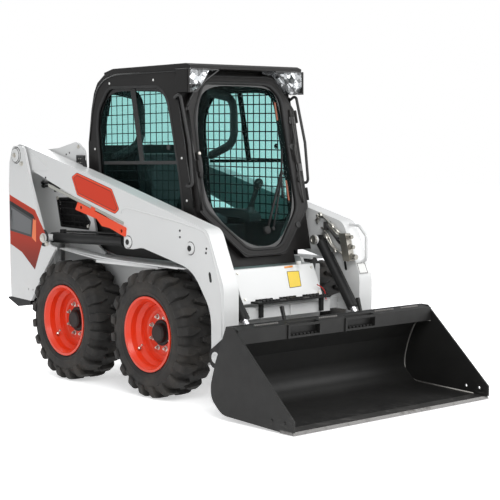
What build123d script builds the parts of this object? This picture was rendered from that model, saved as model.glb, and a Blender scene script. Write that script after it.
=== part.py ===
"""Skid steer loader with an enclosed, front-door cab and a dirt bucket.

The front of the machine faces -Y, its left side is +X and +Z is up. The origin is on the ground,
at the middle of the machine's length and width. Side outlines are tables of (d, z, r) rows: d is
the distance behind an axle (the front one unless said), z the height above the ground on standard
tyres, r the corner radius, all in mm.
"""
import math
import os

from build123d import *

# ---- Driving sizes --------------------------------------------------------------------------
wheelbase = 900.0
tyre_radius = 386.0
tyre_width = 264.0
lug_depth = 24.0
bead_radius = 209.0
tub_half_width = 425.0
bucket_width = 1575.0
bucket_reach = 1401.0           # cutting edge ahead of the front axle
rear_reach = wheelbase + 790.0  # rear bumper behind the front axle
seat_gap = 0.3                  # between pieces on different bodies that sit on each other
pin_clearance = 0.05            # radial, in every running bore

front_axle_y = (bucket_reach - rear_reach) / 2
axle_height = tyre_radius
ride_rise = tyre_radius - 386.0     # 386 is the radius of the standard tyres

# Widths, |x| from the middle plane, each piece beside the one before it
tyre_in = tub_half_width + 16
wheel_x = tyre_in + tyre_width / 2
tyre_out = tyre_in + tyre_width
inner_plate_in = tub_half_width + 39
inner_plate_out = inner_plate_in + 14
arm_in = inner_plate_out + 12
arm_out = arm_in + 110
outer_plate_in = arm_out + 14
outer_plate_out = outer_plate_in + 18
cab_half_width = inner_plate_in - 14
ledge_half_width = arm_out
tub_wall = 20.0

# Lift arms
arm_pivot = (wheelbase + 632.0, 1447.0)
arm_pivot_radius = 30.0
arm_end_radius = 74.0
bucket_pin = (-548.0, 300.0)
bucket_pin_radius = 25.0
arm_tip_radius = 60.0

# Lift cylinders, between the upright's plates
lift_base = (wheelbase + 303.0, 902.0)
lift_eye = (298.0, 920.0)
lift_x = (arm_in + arm_out) / 2
lift_eye_radius = 34.0
lift_eye_width = 46.0

# Tilt cylinders, inside the arms
tilt_base = (-315.0, 914.0)
tilt_lever = 170.0              # from the bucket pin to the tilt pin
tilt_lever_angle = 145.0        # from straight back, turning over the top
tilt_barrel_radius = 33.0
tilt_x = arm_in - 17 - tilt_barrel_radius
tilt_eye_radius = 30.0
tilt_eye_width = 52.0
tilt_eye = (bucket_pin[0] + tilt_lever * math.cos(math.radians(tilt_lever_angle)),
            bucket_pin[1] + tilt_lever * math.sin(math.radians(tilt_lever_angle)))

# Cab
cab_post = 32.0                 # depth of the posts and bars in side view
cab_side_wall = 20.0            # thickness of the cab's sides
cab_floor_z = 772.0
cab_top_z = 1962.0
roof_top_z = cab_top_z + 38
cab_rear_d = wheelbase + 33
pillar_lean = 0.21              # the front pillars go back this much for each mm up
pillar_foot_d = -107.0          # where the pillars' front line is at z = 1400
door_thickness = 40.0
door_hinge_x = cab_half_width - 1
cab_pivot = (wheelbase + 85, 1240.0)    # the cab tips back about it
cab_pivot_radius = 12.0

# Rear covers
hood_hinge = (wheelbase + 170, 1286.0)
hood_hinge_radius = 7.0
tailgate_half_width = 612.0
tailgate_hinge = (outer_plate_out + 8, wheelbase + 756)     # (x, d)

# Small hinges
hinge_pin_radius = 4.0
knuckle_radius = 8.0
knuckle_height = 40.0
door_hinge_v = (-215.0, 285.0)
tailgate_hinge_z = (620.0, 1180.0)


def pillar_d(z):
    """Distance of the front pillars' line behind the front axle, at height z."""
    return pillar_foot_d + pillar_lean * (z - 1400.0)


# ---- Helpers --------------------------------------------------------------------------------
def side_plane(x, axle_d=0.0):
    """Plane across the machine at x, whose own axes are d (behind an axle) and z."""
    return Plane(origin=(x, front_axle_y + axle_d, ride_rise), x_dir=(0, 1, 0), z_dir=(1, 0, 0))


def outline(table, mode=Mode.ADD):
    """Add the closed outline of (d, z, r) rows to the current sketch."""
    with BuildLine() as edge_line:
        FilletPolyline(*[(d, z) for d, z, _ in table], radius=[r for _, _, r in table], close=True)
    make_face(edge_line.edges(), mode=mode)


def box_at(x0, x1, d0, d1, z0, z1, mode=Mode.ADD):
    """Box between two x, two d and two z."""
    with Locations(((x0 + x1) / 2, front_axle_y + (d0 + d1) / 2, ride_rise + (z0 + z1) / 2)):
        Box(x1 - x0, d1 - d0, z1 - z0, mode=mode)


def rod_at(x0, x1, centre, radius, mode=Mode.ADD):
    """Round bar along X between x0 and x1, centred on (d, z)."""
    with BuildSketch(side_plane(x0)) as disc:
        with Locations(centre):
            Circle(radius)
    extrude(disc.sketch, amount=x1 - x0, mode=mode)


def tube_along(plane, points, bend, radius):
    """Round tube along a polyline in a plane, with equal bends."""
    with BuildLine(plane) as route:
        FilletPolyline(*points, radius=bend)
    with BuildSketch(Plane(origin=route.line @ 0, z_dir=route.line % 0)) as disc:
        Circle(radius)
    sweep(disc.sketch, path=route.line)


def slab(base, x0, x1, v0, v1, w0, w1):
    """Box between two x, two v and two w of a plane's own axes."""
    with Locations(base.location * Pos((x0 + x1) / 2, (v0 + v1) / 2, (w0 + w1) / 2)):
        Box(x1 - x0, v1 - v0, w1 - w0)


def post(base, x, w, v0, v1, radius, mode=Mode.ADD):
    """Round bar along a plane's own y from v0 to v1, at its x and w."""
    across = Plane(origin=base.from_local_coords(Vector(x, v0, w)), x_dir=base.x_dir, z_dir=base.y_dir)
    with BuildSketch(across) as disc:
        Circle(radius)
    extrude(disc.sketch, amount=v1 - v0, mode=mode)


def save(piece, name):
    """Label a finished piece and write it to its STEP file."""
    piece.part.label = name
    export_step(piece.part, f"parts/{name}.step")


def mirrored(piece):
    """The same piece on the machine's other side."""
    with BuildPart() as other:
        add(mirror(piece.part, about=Plane.YZ))
    return other


os.makedirs("parts", exist_ok=True)

# ---- Wheels ---------------------------------------------------------------------------------
rim_flange_radius = bead_radius + 19
rim_half_width = 117.0
rim_out, rim_in = wheel_x + rim_half_width, wheel_x - rim_half_width
flange_width = 12.0
disc_face_x = wheel_x + 9       # outer face of the rim's disc
disc_thickness = 10.0
hub_face_x = disc_face_x - disc_thickness
hub_flange = 22.0
hub_flange_radius = 118.0
hub_nose_radius = 62.0
axle_radius = 35.0
axle_inner_x = tub_half_width - 13
tread_radius = tyre_radius - lug_depth
lug_count = 20                  # on each side of a tyre

axle_plane = Plane(origin=(0, 0, 0), x_dir=(1, 0, 0), z_dir=(0, -1, 0))


def turned(section):
    """Add a closed (x, radius) section, turned about the axle, to the current part."""
    with BuildSketch(axle_plane) as half:
        with BuildLine() as edge_line:
            Polyline(*section, close=True)
        make_face(edge_line.edges())
    revolve(half.sketch, axis=Axis.X)


# The tyres are made of flats, so that all four stay light: a carcass of as many flats as a side
# has lugs, and bent bars with flat faces
bead_fit = 0.05
sidewall_drop = 90.0            # from the tread's top down to the widest part
shoulder_in = 56.0              # from the widest part in to the carcass's tread


def ring_of_flats(section):
    """Ring of flat faces about the axle, from a closed (x, radius to the flats) section."""
    half_turn = math.pi / lug_count
    rows = [(x, radius / math.cos(half_turn)) for x, radius in section]
    corners = [[Vector(x, reach * math.sin((2 * k + 1) * half_turn), reach * math.cos((2 * k + 1) * half_turn))
                for x, reach in rows] for k in range(lug_count)]
    flats = []
    for k in range(lug_count):
        here, there = corners[k], corners[(k + 1) % lug_count]
        for m in range(len(rows)):
            n = (m + 1) % len(rows)
            flats.append(Face(Wire.make_polygon([here[m], here[n], there[n], there[m]])))
    return Solid(Shell(flats))


with BuildPart() as carcass:
    add(ring_of_flats([(rim_in + flange_width, bead_radius + bead_fit), (rim_in + flange_width, rim_flange_radius + 4),
                       (tyre_in, tyre_radius - sidewall_drop), (tyre_in + shoulder_in, tread_radius),
                       (tyre_out - shoulder_in, tread_radius), (tyre_out, tyre_radius - sidewall_drop),
                       (rim_out - flange_width, rim_flange_radius + 4),
                       (rim_out - flange_width, bead_radius + bead_fit)]))

# One lug of the outer side, at the top of the wheel: its plan (across, round) from the tyre's
# middle line, and its section (across, radius), which runs down into the sidewall
half_tread = tyre_width / 2
lug_plan = [(4, -13), (56, -30), (half_tread, -30), (half_tread, 22), (4, 10)]
lug_section = [(4, tread_radius - 6), (4, tyre_radius), (half_tread - 42, tyre_radius),
               (half_tread, tyre_radius - 56), (half_tread, tyre_radius - sidewall_drop),
               (half_tread - 40, tread_radius - 40)]
with BuildPart() as lug:
    with BuildSketch(Plane(origin=(wheel_x, 0, 0))):
        with BuildLine():
            Polyline(*lug_plan, close=True)
        make_face()
    extrude(amount=tyre_radius)
    with BuildSketch(Plane(origin=(wheel_x, half_tread, 0), x_dir=(1, 0, 0), z_dir=(0, -1, 0))):
        with BuildLine():
            Polyline(*lug_section, close=True)
        make_face()
    extrude(amount=2 * half_tread, mode=Mode.INTERSECT)
inner_lug = mirror(lug.part, about=Plane(origin=(wheel_x, 0, 0), z_dir=(1, 0, 0)))
with BuildPart() as master_tyre:
    add(carcass.part)
    add([lug.part.rotate(Axis.X, 360 * k / lug_count) for k in range(lug_count)])
    add([inner_lug.rotate(Axis.X, 360 * (k + 0.5) / lug_count) for k in range(lug_count)])

# Rim barrel with flanges and drop well, then the disc: (x, radius)
well_radius = bead_radius - 23
rim_skin = 12.0
disc_radius = well_radius - rim_skin
with BuildPart() as master_rim:
    turned([(rim_in, rim_flange_radius), (rim_in + flange_width, rim_flange_radius),
            (rim_in + flange_width, bead_radius), (wheel_x - 45, bead_radius), (wheel_x - 25, well_radius),
            (wheel_x + 25, well_radius), (wheel_x + 45, bead_radius), (rim_out - flange_width, bead_radius),
            (rim_out - flange_width, rim_flange_radius), (rim_out, rim_flange_radius),
            (rim_out, bead_radius + 5), (rim_out - 26, bead_radius - rim_skin),
            (wheel_x + 52, bead_radius - rim_skin), (wheel_x + 30, disc_radius), (disc_face_x, disc_radius - 3),
            (disc_face_x, 140), (disc_face_x - 6, 128), (disc_face_x - 6, hub_nose_radius + 1),
            (hub_face_x, hub_nose_radius + 1), (hub_face_x, disc_radius), (wheel_x - 30, disc_radius),
            (wheel_x - 52, bead_radius - rim_skin), (rim_in + 26, bead_radius - rim_skin),
            (rim_in, bead_radius + 5)])

# Hub: the axle shaft, the flange behind the disc and the nose through it
with BuildPart() as master_hub:
    turned([(axle_inner_x, 0), (axle_inner_x, axle_radius), (hub_face_x - hub_flange, axle_radius),
            (hub_face_x - hub_flange, hub_flange_radius), (hub_face_x, hub_flange_radius),
            (hub_face_x, hub_nose_radius), (disc_face_x + 26, hub_nose_radius - 4),
            (disc_face_x + 34, hub_nose_radius - 14), (disc_face_x + 34, 0)])

# Wheel places: name, d, side
wheel_places = [("front_right", 0.0, -1), ("front_left", 0.0, 1),
                ("rear_right", wheelbase, -1), ("rear_left", wheelbase, 1)]
for place, d, side in wheel_places:
    for kind, master in (("tyre", master_tyre), ("rim", master_rim), ("hub", master_hub)):
        source = master if side > 0 else mirrored(master)
        with BuildPart() as wheel_piece:
            add(source.part.moved(Location((0, front_axle_y + d, axle_height))))
        save(wheel_piece, f"{place}_{kind}")

# ---- Main frame -----------------------------------------------------------------------------
tub_floor_z = 185.0
ledge_z = 786.0                 # underside of the ledge over the front tyre
ledge_thickness = 8.0
axle_tube_radius = 62.0
axle_tube_out = hub_face_x - hub_flange - 6
chain_wall_x = tub_half_width - 125
foot_floor_z = 430.0
bay_d0, bay_d1 = wheelbase - 100, wheelbase + 381
tub_outline = [(-330, 300, 40), (-330, 764, 6), (-190, 764, 6), (-170, 800, 6), (650, 806, 0),
               (wheelbase + 161, 848, 0), (wheelbase + 400, 848, 10), (wheelbase + 400, 260, 20),
               (wheelbase + 280, tub_floor_z, 60), (-200, tub_floor_z, 60)]
rear_box_outline = [(390, 290, 10), (390, 900, 10), (712, 900, 10), (712, 480, 10), (660, 400, 40)]
rear_bay_outline = [(370, 310, 0), (370, 1000, 0), (692, 1000, 0), (692, 484, 10), (648, 420, 40)]
ledge_outline = [(-250, ledge_z, 0), (-250, ledge_z + 8, 0), (650, ledge_z + 14, 0),
                 (wheelbase + 161, ledge_z + 56, 0), (wheelbase + 161, ledge_z + 48, 0), (650, ledge_z + 6, 0)]

with BuildPart() as main_frame:
    with BuildSketch(side_plane(-tub_half_width)):
        outline(tub_outline)
    extrude(amount=2 * tub_half_width)
    with BuildSketch(side_plane(-inner_plate_in, wheelbase)):
        outline(rear_box_outline)
    extrude(amount=2 * inner_plate_in)
    tub_inside = tub_half_width - tub_wall
    box_at(-tub_inside, tub_inside, -310, bay_d1, 560, 1000, Mode.SUBTRACT)
    box_at(-chain_wall_x, chain_wall_x, -300, bay_d0 - 60, foot_floor_z, 600, Mode.SUBTRACT)
    box_at(-tub_inside, tub_inside, bay_d0, bay_d1, 300, 1000, Mode.SUBTRACT)
    with BuildSketch(side_plane(-inner_plate_in + tub_wall, wheelbase)):
        outline(rear_bay_outline)
    extrude(amount=2 * (inner_plate_in - tub_wall), mode=Mode.SUBTRACT)
    with BuildSketch(side_plane(tub_half_width)):
        outline(ledge_outline)
    extrude(amount=ledge_half_width - tub_half_width)
    box_at(ledge_half_width - ledge_thickness, ledge_half_width, 0, 650, ledge_z - 14, ledge_z + 4)
    mirror(about=Plane.YZ, mode=Mode.ADD)
    for d in (0.0, wheelbase):
        for x in (-axle_tube_out, tub_half_width - 2):
            rod_at(x, x + axle_tube_out - tub_half_width + 2, (d, axle_height - ride_rise), axle_tube_radius)
        for x in (-axle_tube_out - 1, chain_wall_x + 80):
            rod_at(x, x + axle_tube_out + 1 - chain_wall_x - 80, (d, axle_height - ride_rise),
                   axle_radius + pin_clearance, Mode.SUBTRACT)
save(main_frame, "main_frame")

with BuildPart() as front_panel:
    with BuildSketch(side_plane(-325)):
        outline([(-330, 575, 0), (-330, 764, 0), (-345, 773, 0), (-372, 773, 4), (-463, 573, 4), (-450, 569, 0)])
    extrude(amount=650)
save(front_panel, "front_panel")

# Engine and pumps, closed in, as one block on its two feet
with BuildPart() as engine_block:
    box_at(-220, 220, wheelbase + 70, wheelbase + 520, 380, 760)
    for x in (-200, 140):
        box_at(x, x + 60, wheelbase + 100, wheelbase + 180, 300, 380)
save(engine_block, "engine")

# Rear bumper: a wedge under each upright and the bar between them
with BuildPart() as rear_bumper:
    with BuildSketch(side_plane(-outer_plate_out, wheelbase)):
        outline([(485, 467.8, 0), (716, 478.4, 0), (790, 474, 6), (640, 418, 10), (485, 440, 4)])
    extrude(amount=2 * outer_plate_out)
    box_at(-inner_plate_in - 8, inner_plate_in + 8, wheelbase + 300, wheelbase + 740, 300, 500, Mode.SUBTRACT)
save(rear_bumper, "rear_bumper")

# ---- Uprights -------------------------------------------------------------------------------
plate_rear = 731.0              # rear edge of the plates behind the rear axle
web_thickness = 18.0
stud_hole_radius = 6.5
stud_hole_pair = (479.0, 545.0)     # middle of the two holes in the outer plate, (d, z)
stud_hole_pitch = 56.0
outer_plate_outline = [
    (539, 1503, 40), (675, 1512, 40), (720, 1400, 60), (plate_rear, 1257, 30), (plate_rear, 480, 10),
    (473, 468, 20), (340, 640, 300), (161, 843, 12), (250, 860, 60), (311, 941, 60), (455, 1263, 200),
]
# The inner plate's front half follows the cab, so its rows are given behind the front axle
inner_plate_outline = [
    (wheelbase + 690, 1470, 40), (wheelbase + 342, 1495, 400), (wheelbase + 132, 1537, 60),
    (wheelbase + 40, 1480, 60), (wheelbase + 27, 1339, 60), (844, 1035, 30), (792, 862, 10), (725, 827, 6),
    (725, 809, 0), (wheelbase + 161, 843, 0), (wheelbase + 400, 900, 10), (wheelbase + 473, 480, 20),
    (wheelbase + 710, 480, 10), (wheelbase + 710, 1400, 30),
]
grille_outline = [(1048, 1172, 12), (1282, 1163, 12), (1233, 969, 12), (903, 961, 12), (879, 1014, 12)]
with BuildPart() as right_upright:
    with BuildSketch(side_plane(-outer_plate_out, wheelbase)):
        outline(outer_plate_outline)
    extrude(amount=outer_plate_out - outer_plate_in)
    with BuildSketch(side_plane(-inner_plate_out)):
        outline(inner_plate_outline)
        outline(grille_outline, Mode.SUBTRACT)
    extrude(amount=inner_plate_out - inner_plate_in)
    web_x0, web_x1 = -outer_plate_in, -inner_plate_out
    web_d = wheelbase + plate_rear - web_thickness
    box_at(web_x0, web_x1, web_d, web_d + web_thickness - 2, 482, 1330)
    box_at(web_x0, web_x1, wheelbase + 480, web_d, 482, 500)
    rod_at(web_x0, web_x1, lift_base, 24)
    rod_at(web_x0 - 24, -inner_plate_in, arm_pivot, arm_pivot_radius)
    rod_at(-outer_plate_out - 8, -outer_plate_out, arm_pivot, 52)
    rod_at(-outer_plate_out - 8, -outer_plate_out, lift_base, 32)
    rod_at(-inner_plate_in, -cab_half_width + 22, cab_pivot, cab_pivot_radius)
    rod_at(-inner_plate_in, -430, hood_hinge, hood_hinge_radius)
    for step in (-0.5, 0.5):
        centre = (wheelbase + stud_hole_pair[0] + step * stud_hole_pitch, stud_hole_pair[1])
        rod_at(-outer_plate_out - 1, -outer_plate_in + 1, centre, stud_hole_radius, Mode.SUBTRACT)
save(right_upright, "right_upright")

hinge_x, hinge_d = tailgate_hinge
tailgate_plane = Plane(origin=(0, front_axle_y + hinge_d, ride_rise), x_dir=(-1, 0, 0), z_dir=(0, 1, 0))
with BuildPart() as left_upright:
    add(mirror(right_upright.part, about=Plane.YZ))
    for z in tailgate_hinge_z:
        low = z - seat_gap - knuckle_height
        box_at(outer_plate_out, hinge_x + 2, wheelbase + 700, hinge_d, low, z - seat_gap)
        post(tailgate_plane, -hinge_x, 0, low, z - seat_gap, knuckle_radius)
        post(tailgate_plane, -hinge_x, 0, z - seat_gap - 1, z + knuckle_height, hinge_pin_radius)
save(left_upright, "left_upright")

# Side grilles: a frame in each inner plate's opening with crossed bars
grille_bars = (950, 1010, 1070, 1130, 1190)                # d of the uprights
with BuildPart() as side_grilles:
    with BuildSketch(side_plane(inner_plate_in + 2)):
        outline(grille_outline)
        offset(amount=-1, mode=Mode.REPLACE)
        outline([(1062, 1158, 8), (1264, 1150, 8), (1222, 983, 8), (912, 975, 8), (895, 1012, 8)], Mode.SUBTRACT)
    extrude(amount=inner_plate_out - inner_plate_in)
    for d in grille_bars:
        with BuildSketch(side_plane(inner_plate_in + 5)):
            outline([(d - 5, 970, 0), (d + 5, 970, 0), (d + 45, 1165, 0), (d + 35, 1165, 0)])
            outline(grille_outline, Mode.INTERSECT)
            offset(amount=-3, mode=Mode.REPLACE)
        extrude(amount=4)
    mirror(about=Plane.YZ)
save(side_grilles, "side_grilles")

# ---- Lift arms ------------------------------------------------------------------------------
arm_outline = [
    (arm_pivot[0] + 28, 1518, 40), (arm_pivot[0] - 61, 1512, 120), (509, 1278, 600), (-472, 1028, 90),
    (-617, 706, 220), (-614, 470, 80), (-604, 260, 30), (-500, 262, 30), (-500, 560, 260), (-330, 790, 260),
    (160, 893, 60), (250, 878, 20), (345, 878, 30), (345, 1008, 20), (arm_pivot[0] - 145, 1345, 90),
    (arm_pivot[0] + 48, 1385, 60),
]
pin_boss = 36.0
arm_slot = (-494.0, 757.0)
# A doubler plate on the arm's outer face, beside the pivot
doubler_outline = [(-130, 22, 10), (-336, -70, 10), (-335, -103, 10), (-145, -98, 10)]
with BuildPart() as plain_arm:
    with BuildSketch(side_plane(arm_in)):
        outline(arm_outline)
        with Locations(arm_pivot):
            Circle(arm_end_radius)
        with Locations(bucket_pin):
            Circle(arm_tip_radius)
    extrude(amount=arm_out - arm_in)
    with BuildSketch(side_plane(arm_out)):
        outline([(arm_pivot[0] + d, arm_pivot[1] + z, r) for d, z, r in doubler_outline])
        with Locations(bucket_pin):
            Circle(arm_tip_radius - 8)
    extrude(amount=2.5)
    rod_at(arm_in - 1, arm_out + 4, arm_pivot, arm_pivot_radius + pin_clearance, Mode.SUBTRACT)
    rod_at(arm_in - 1, arm_out + 4, bucket_pin, bucket_pin_radius + pin_clearance, Mode.SUBTRACT)
    box_at(lift_x - lift_eye_width / 2 - 5, lift_x + lift_eye_width / 2 + 5, 170, 400, 780, 968, Mode.SUBTRACT)
    rod_at(tilt_x - tilt_barrel_radius - 4, arm_in, tilt_base, 20)
    rod_at(tilt_x - tilt_barrel_radius - 16, tilt_x - tilt_barrel_radius - 4, tilt_base, 30)
    rod_at(arm_out, arm_out + 6, tilt_base, pin_boss)
    rod_at(arm_out, arm_out + 6, lift_eye, pin_boss)
    with BuildSketch(side_plane(arm_in - 1)):
        with Locations(arm_slot):
            SlotOverall(60, 20, rotation=78)
    extrude(amount=arm_out - arm_in + 4, mode=Mode.SUBTRACT)
right_arm = mirrored(plain_arm)
save(right_arm, "right_arm")

handle_points = [(-480, 1012), (-560, 1006), (-622, 945), (-622, 800), (-560, 770)]
with BuildPart() as left_arm:
    add(plain_arm.part)
    tube_along(side_plane(lift_x), handle_points, 30, 10)
save(left_arm, "left_arm")

# Beam across the arms, cranked back around the tilt cylinders, with a plate at each end
end_plate = 10.0
beam_z = (490.0, 555.0)
beam_front = -520.0
with BuildPart() as arm_cross_beam:
    with BuildSketch(Plane(origin=(0, front_axle_y, beam_z[0] + ride_rise))):
        with BuildLine():
            Polyline((0, beam_front), (330, beam_front), (tilt_x - 40, -436), (arm_in, -436), (arm_in, -380),
                     (tilt_x - 60, -380), (310, -464), (0, -464), close=True)
        make_face()
    extrude(amount=beam_z[1] - beam_z[0])
    with BuildSketch(side_plane(arm_in - end_plate)):
        outline([(-560, 600, 20), (-500, 600, 20), (-376, 560, 10), (-376, 485, 10), (-560, 485, 10)])
    extrude(amount=end_plate)
    box_at(0, 6, beam_front - 8, beam_front, *beam_z)
    mirror(about=Plane.YZ)
save(arm_cross_beam, "arm_cross_beam")

step_groups = (-190.0, 0.0, 190.0)      # middles of the tread's rows of teeth
step_top = 592.0
with BuildPart() as front_step:
    box_at(-290, 290, beam_front - 44, beam_front + 30, step_top - 12, step_top)
    for x in (-245, 245):
        box_at(x - 12, x + 12, beam_front - 20, beam_front, beam_z[0] + 8, step_top - 12)
    for middle in step_groups:
        for k in range(5):
            x = middle + (k - 2) * 28
            for d in (beam_front - 44, beam_front + 18):
                box_at(x - 9, x + 9, d, d + 12, step_top, step_top + 10)
save(front_step, "front_step")

with BuildPart() as arm_lock:
    with BuildSketch(side_plane(-arm_out - 8)):
        outline([(835, 1150, 6), (690, 1110, 0), (684, 1128, 4), (640, 1116, 4), (645, 1097, 0), (314, 1006, 6),
                 (325, 950, 6), (484, 998, 6), (570, 1007, 20), (624, 1049, 6), (865, 1101, 6)])
        with Locations((360, 985), (800, 1115)):
            Circle(12, mode=Mode.SUBTRACT)
    extrude(amount=8)
save(arm_lock, "arm_lock")

# Quick couplers on the left arm: z, radius and length of each fitting
coupler_x = arm_in - 22
coupler_rows = [(940.0, 12.0, 34.0), (878.0, 12.0, 34.0), (817.0, 16.0, 40.0)]


def coupler_d(z):
    """Front face of the coupler block at height z."""
    return -558 + 0.24 * (z - 870)


with BuildPart() as couplers:
    with BuildSketch(side_plane(coupler_x - 22)):
        outline([(coupler_d(960), 960, 6), (coupler_d(790), 790, 6), (coupler_d(790) + 60, 790, 6),
                 (coupler_d(960) + 60, 960, 6)])
    extrude(amount=44)
    for z, radius, length in coupler_rows:
        face_y = front_axle_y + coupler_d(z) + 6
        with BuildSketch(Plane(origin=(coupler_x, face_y, z + ride_rise), z_dir=(0, -1, 0))):
            Circle(radius)
        extrude(amount=length + 6)
        with BuildSketch(Plane(origin=(coupler_x, face_y, z + ride_rise), z_dir=(0, -1, 0))):
            RegularPolygon(radius + 6, 6)
        extrude(amount=16)
save(couplers, "hydraulic_couplers")

# Hoses from the couplers to the clip on the arm's inner face
hose_radius = 8.0
clip_place = (-352.0, 1000.0)
with BuildPart() as arm_hoses:
    for x, z0, z1 in ((coupler_x - 10, 925.0, 1012.0), (coupler_x + 10, 890.0, 988.0)):
        start = coupler_d(z0) + 64
        tube_along(side_plane(x), [(start, z0), (start + 34, z0 + 6), (clip_place[0], z1)], 22, hose_radius)
    box_at(coupler_x - 20, arm_in, clip_place[0] - 12, clip_place[0] + 12, 974, 1026)
save(arm_hoses, "arm_hoses")


# ---- Cylinders ------------------------------------------------------------------------------
def line_plane(x, start, end):
    """Plane at x whose own x axis runs from start to end, both (d, z)."""
    length = math.dist(start, end)
    run = ((end[0] - start[0]) / length, (end[1] - start[1]) / length)
    return Plane(origin=(x, front_axle_y + start[0], start[1] + ride_rise), x_dir=(0, run[0], run[1]),
                 z_dir=(1, 0, 0))


def barrel(x, start, end, size):
    """Bored cylinder barrel with its base eye on start, pointing at end."""
    axis_plane = line_plane(x, start, end)
    across = Plane(origin=axis_plane.origin, x_dir=(1, 0, 0), z_dir=axis_plane.x_dir)
    with BuildPart() as made:
        with BuildSketch(across.offset(size["eye"] * 0.6)):
            Circle(size["barrel"])
        extrude(amount=size["length"] - size["eye"] * 0.6)
        with BuildSketch(across.offset(size["length"] - 30)):
            Circle(size["barrel"] + size["collar"])
        extrude(amount=30)
        with BuildSketch(axis_plane.offset(-size["eye_width"] / 2)):
            Circle(size["eye"])
        extrude(amount=size["eye_width"])
        for u in size["ports"]:
            with BuildSketch(axis_plane.offset(-11)):
                with Locations((u, -size["barrel"])):
                    Rectangle(44, 44)
            extrude(amount=22)
        if size["ports"]:
            with BuildSketch(across.offset(size["ports"][0])):
                with Locations((0, size["barrel"] + 10)):
                    Circle(7)
            extrude(amount=size["ports"][-1] - size["ports"][0])
        with BuildSketch(across.offset(size["eye"] + 24)):
            Circle(size["rod"] + pin_clearance)
        extrude(amount=size["length"], mode=Mode.SUBTRACT)
        with BuildSketch(axis_plane.offset(-size["barrel"] - 1)):
            Circle(size["pin"] + pin_clearance)
        extrude(amount=2 * size["barrel"] + 2, mode=Mode.SUBTRACT)
    return made


def rod(x, start, end, size):
    """Cylinder rod on the line from start to end, with its eye on end."""
    axis_plane = line_plane(x, start, end)
    across = Plane(origin=axis_plane.origin, x_dir=(1, 0, 0), z_dir=axis_plane.x_dir)
    with BuildPart() as made:
        with BuildSketch(across.offset(size["rod_start"])):
            Circle(size["rod"])
        extrude(amount=math.dist(start, end) - size["rod_start"] - size["rod_eye"] * 0.5)
        end_plane = side_plane(x)
        with BuildSketch(end_plane.offset(-size["eye_width"] / 2)):
            with Locations(end):
                Circle(size["rod_eye"])
        extrude(amount=size["eye_width"])
    return made


lift_size = {"barrel": 34.0, "collar": 4.0, "length": 800.0, "eye": 34.0, "eye_width": lift_eye_width, "pin": 24.0,
             "rod": 21.0, "rod_start": 66.0, "rod_eye": lift_eye_radius,
             "ports": (100.0, 740.0)}
tilt_size = {"barrel": tilt_barrel_radius - 1, "collar": 1.0, "length": 500.0, "eye": 30.0,
             "eye_width": tilt_eye_width, "pin": 20.0, "rod": 18.0, "rod_start": 120.0,
             "rod_eye": tilt_eye_radius, "ports": ()}
for kind, x, base, eye, size in (("lift", lift_x, lift_base, lift_eye, lift_size),
                                 ("tilt", tilt_x, tilt_base, tilt_eye, tilt_size)):
    with BuildPart() as barrels:
        add(barrel(x, base, eye, size).part)
        mirror(about=Plane.YZ)
    with BuildPart() as rods:
        add(rod(x, base, eye, size).part)
        mirror(about=Plane.YZ)
    save(barrels, f"{kind}_barrels")
    save(rods, f"{kind}_rods")

# ---- Bucket and its coupler -----------------------------------------------------------------
bucket_half = bucket_width / 2
bucket_plate = 9.0
bucket_side_plate = 10.0
edge_bar_length = 110.0
edge_d = -bucket_reach
bucket_outline = [
    (-857, 526, 8), (-917, 524, 12), (edge_d, 79, 10), (edge_d, 4, 0), (-816, 30, 120), (-721, 110, 90),
    (-721, 190, 120), (-764, 322, 0),
]
bucket_inside = [
    (-868, 516, 0), (-1000, 700, 0), (edge_d - 200, 700, 0), (edge_d - 200, 3, 0), (-816, 39.5, 112),
    (-731, 114, 82), (-731, 190, 112), (-774, 322, 0),
]
beam_outline = [(-857, 526, 0), (-948, 512, 0), (-944, 430, 0), (-813, 430, 0)]
# Footholds in the top beam: x0, x1
footholds = [(-400.0, -170.0), (50.0, 280.0)]
with BuildPart() as bucket_shell:
    with BuildSketch(side_plane(-bucket_half)):
        outline(bucket_outline)
    extrude(amount=bucket_width)
    with BuildSketch(side_plane(-bucket_half + bucket_side_plate)):
        outline(bucket_inside)
    extrude(amount=bucket_width - 2 * bucket_side_plate, mode=Mode.SUBTRACT)
    with BuildSketch(side_plane(-bucket_half + bucket_side_plate)):
        outline(beam_outline)
    extrude(amount=bucket_width - 2 * bucket_side_plate)
    for x0, x1 in footholds:
        box_at(x0, x1, -960, -912, 440, 540, Mode.SUBTRACT)
        for k in range(8):
            x = x0 + (k + 0.5) * (x1 - x0) / 8
            box_at(x - 9, x + 9, -936, -924, 430, 452)
    for x in (-bucket_half - 1, bucket_half - bucket_side_plate - 1):
        for d, z in ((edge_d + 70, 62), (edge_d + 170, 62)):
            rod_at(x, x + bucket_side_plate + 2, (d, z), 9, Mode.SUBTRACT)
    box_at(-bucket_half - 1, bucket_half + 1, edge_d - 10, edge_d + edge_bar_length, -5, 20, Mode.SUBTRACT)
save(bucket_shell, "bucket_shell")

with BuildPart() as cutting_edge:
    with BuildSketch(side_plane(-bucket_half)):
        outline([(edge_d, 4, 0), (edge_d + 14, 20, 0), (edge_d + edge_bar_length, 20, 0),
                 (edge_d + edge_bar_length, 4, 0)])
    extrude(amount=bucket_width)
save(cutting_edge, "cutting_edge")

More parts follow.
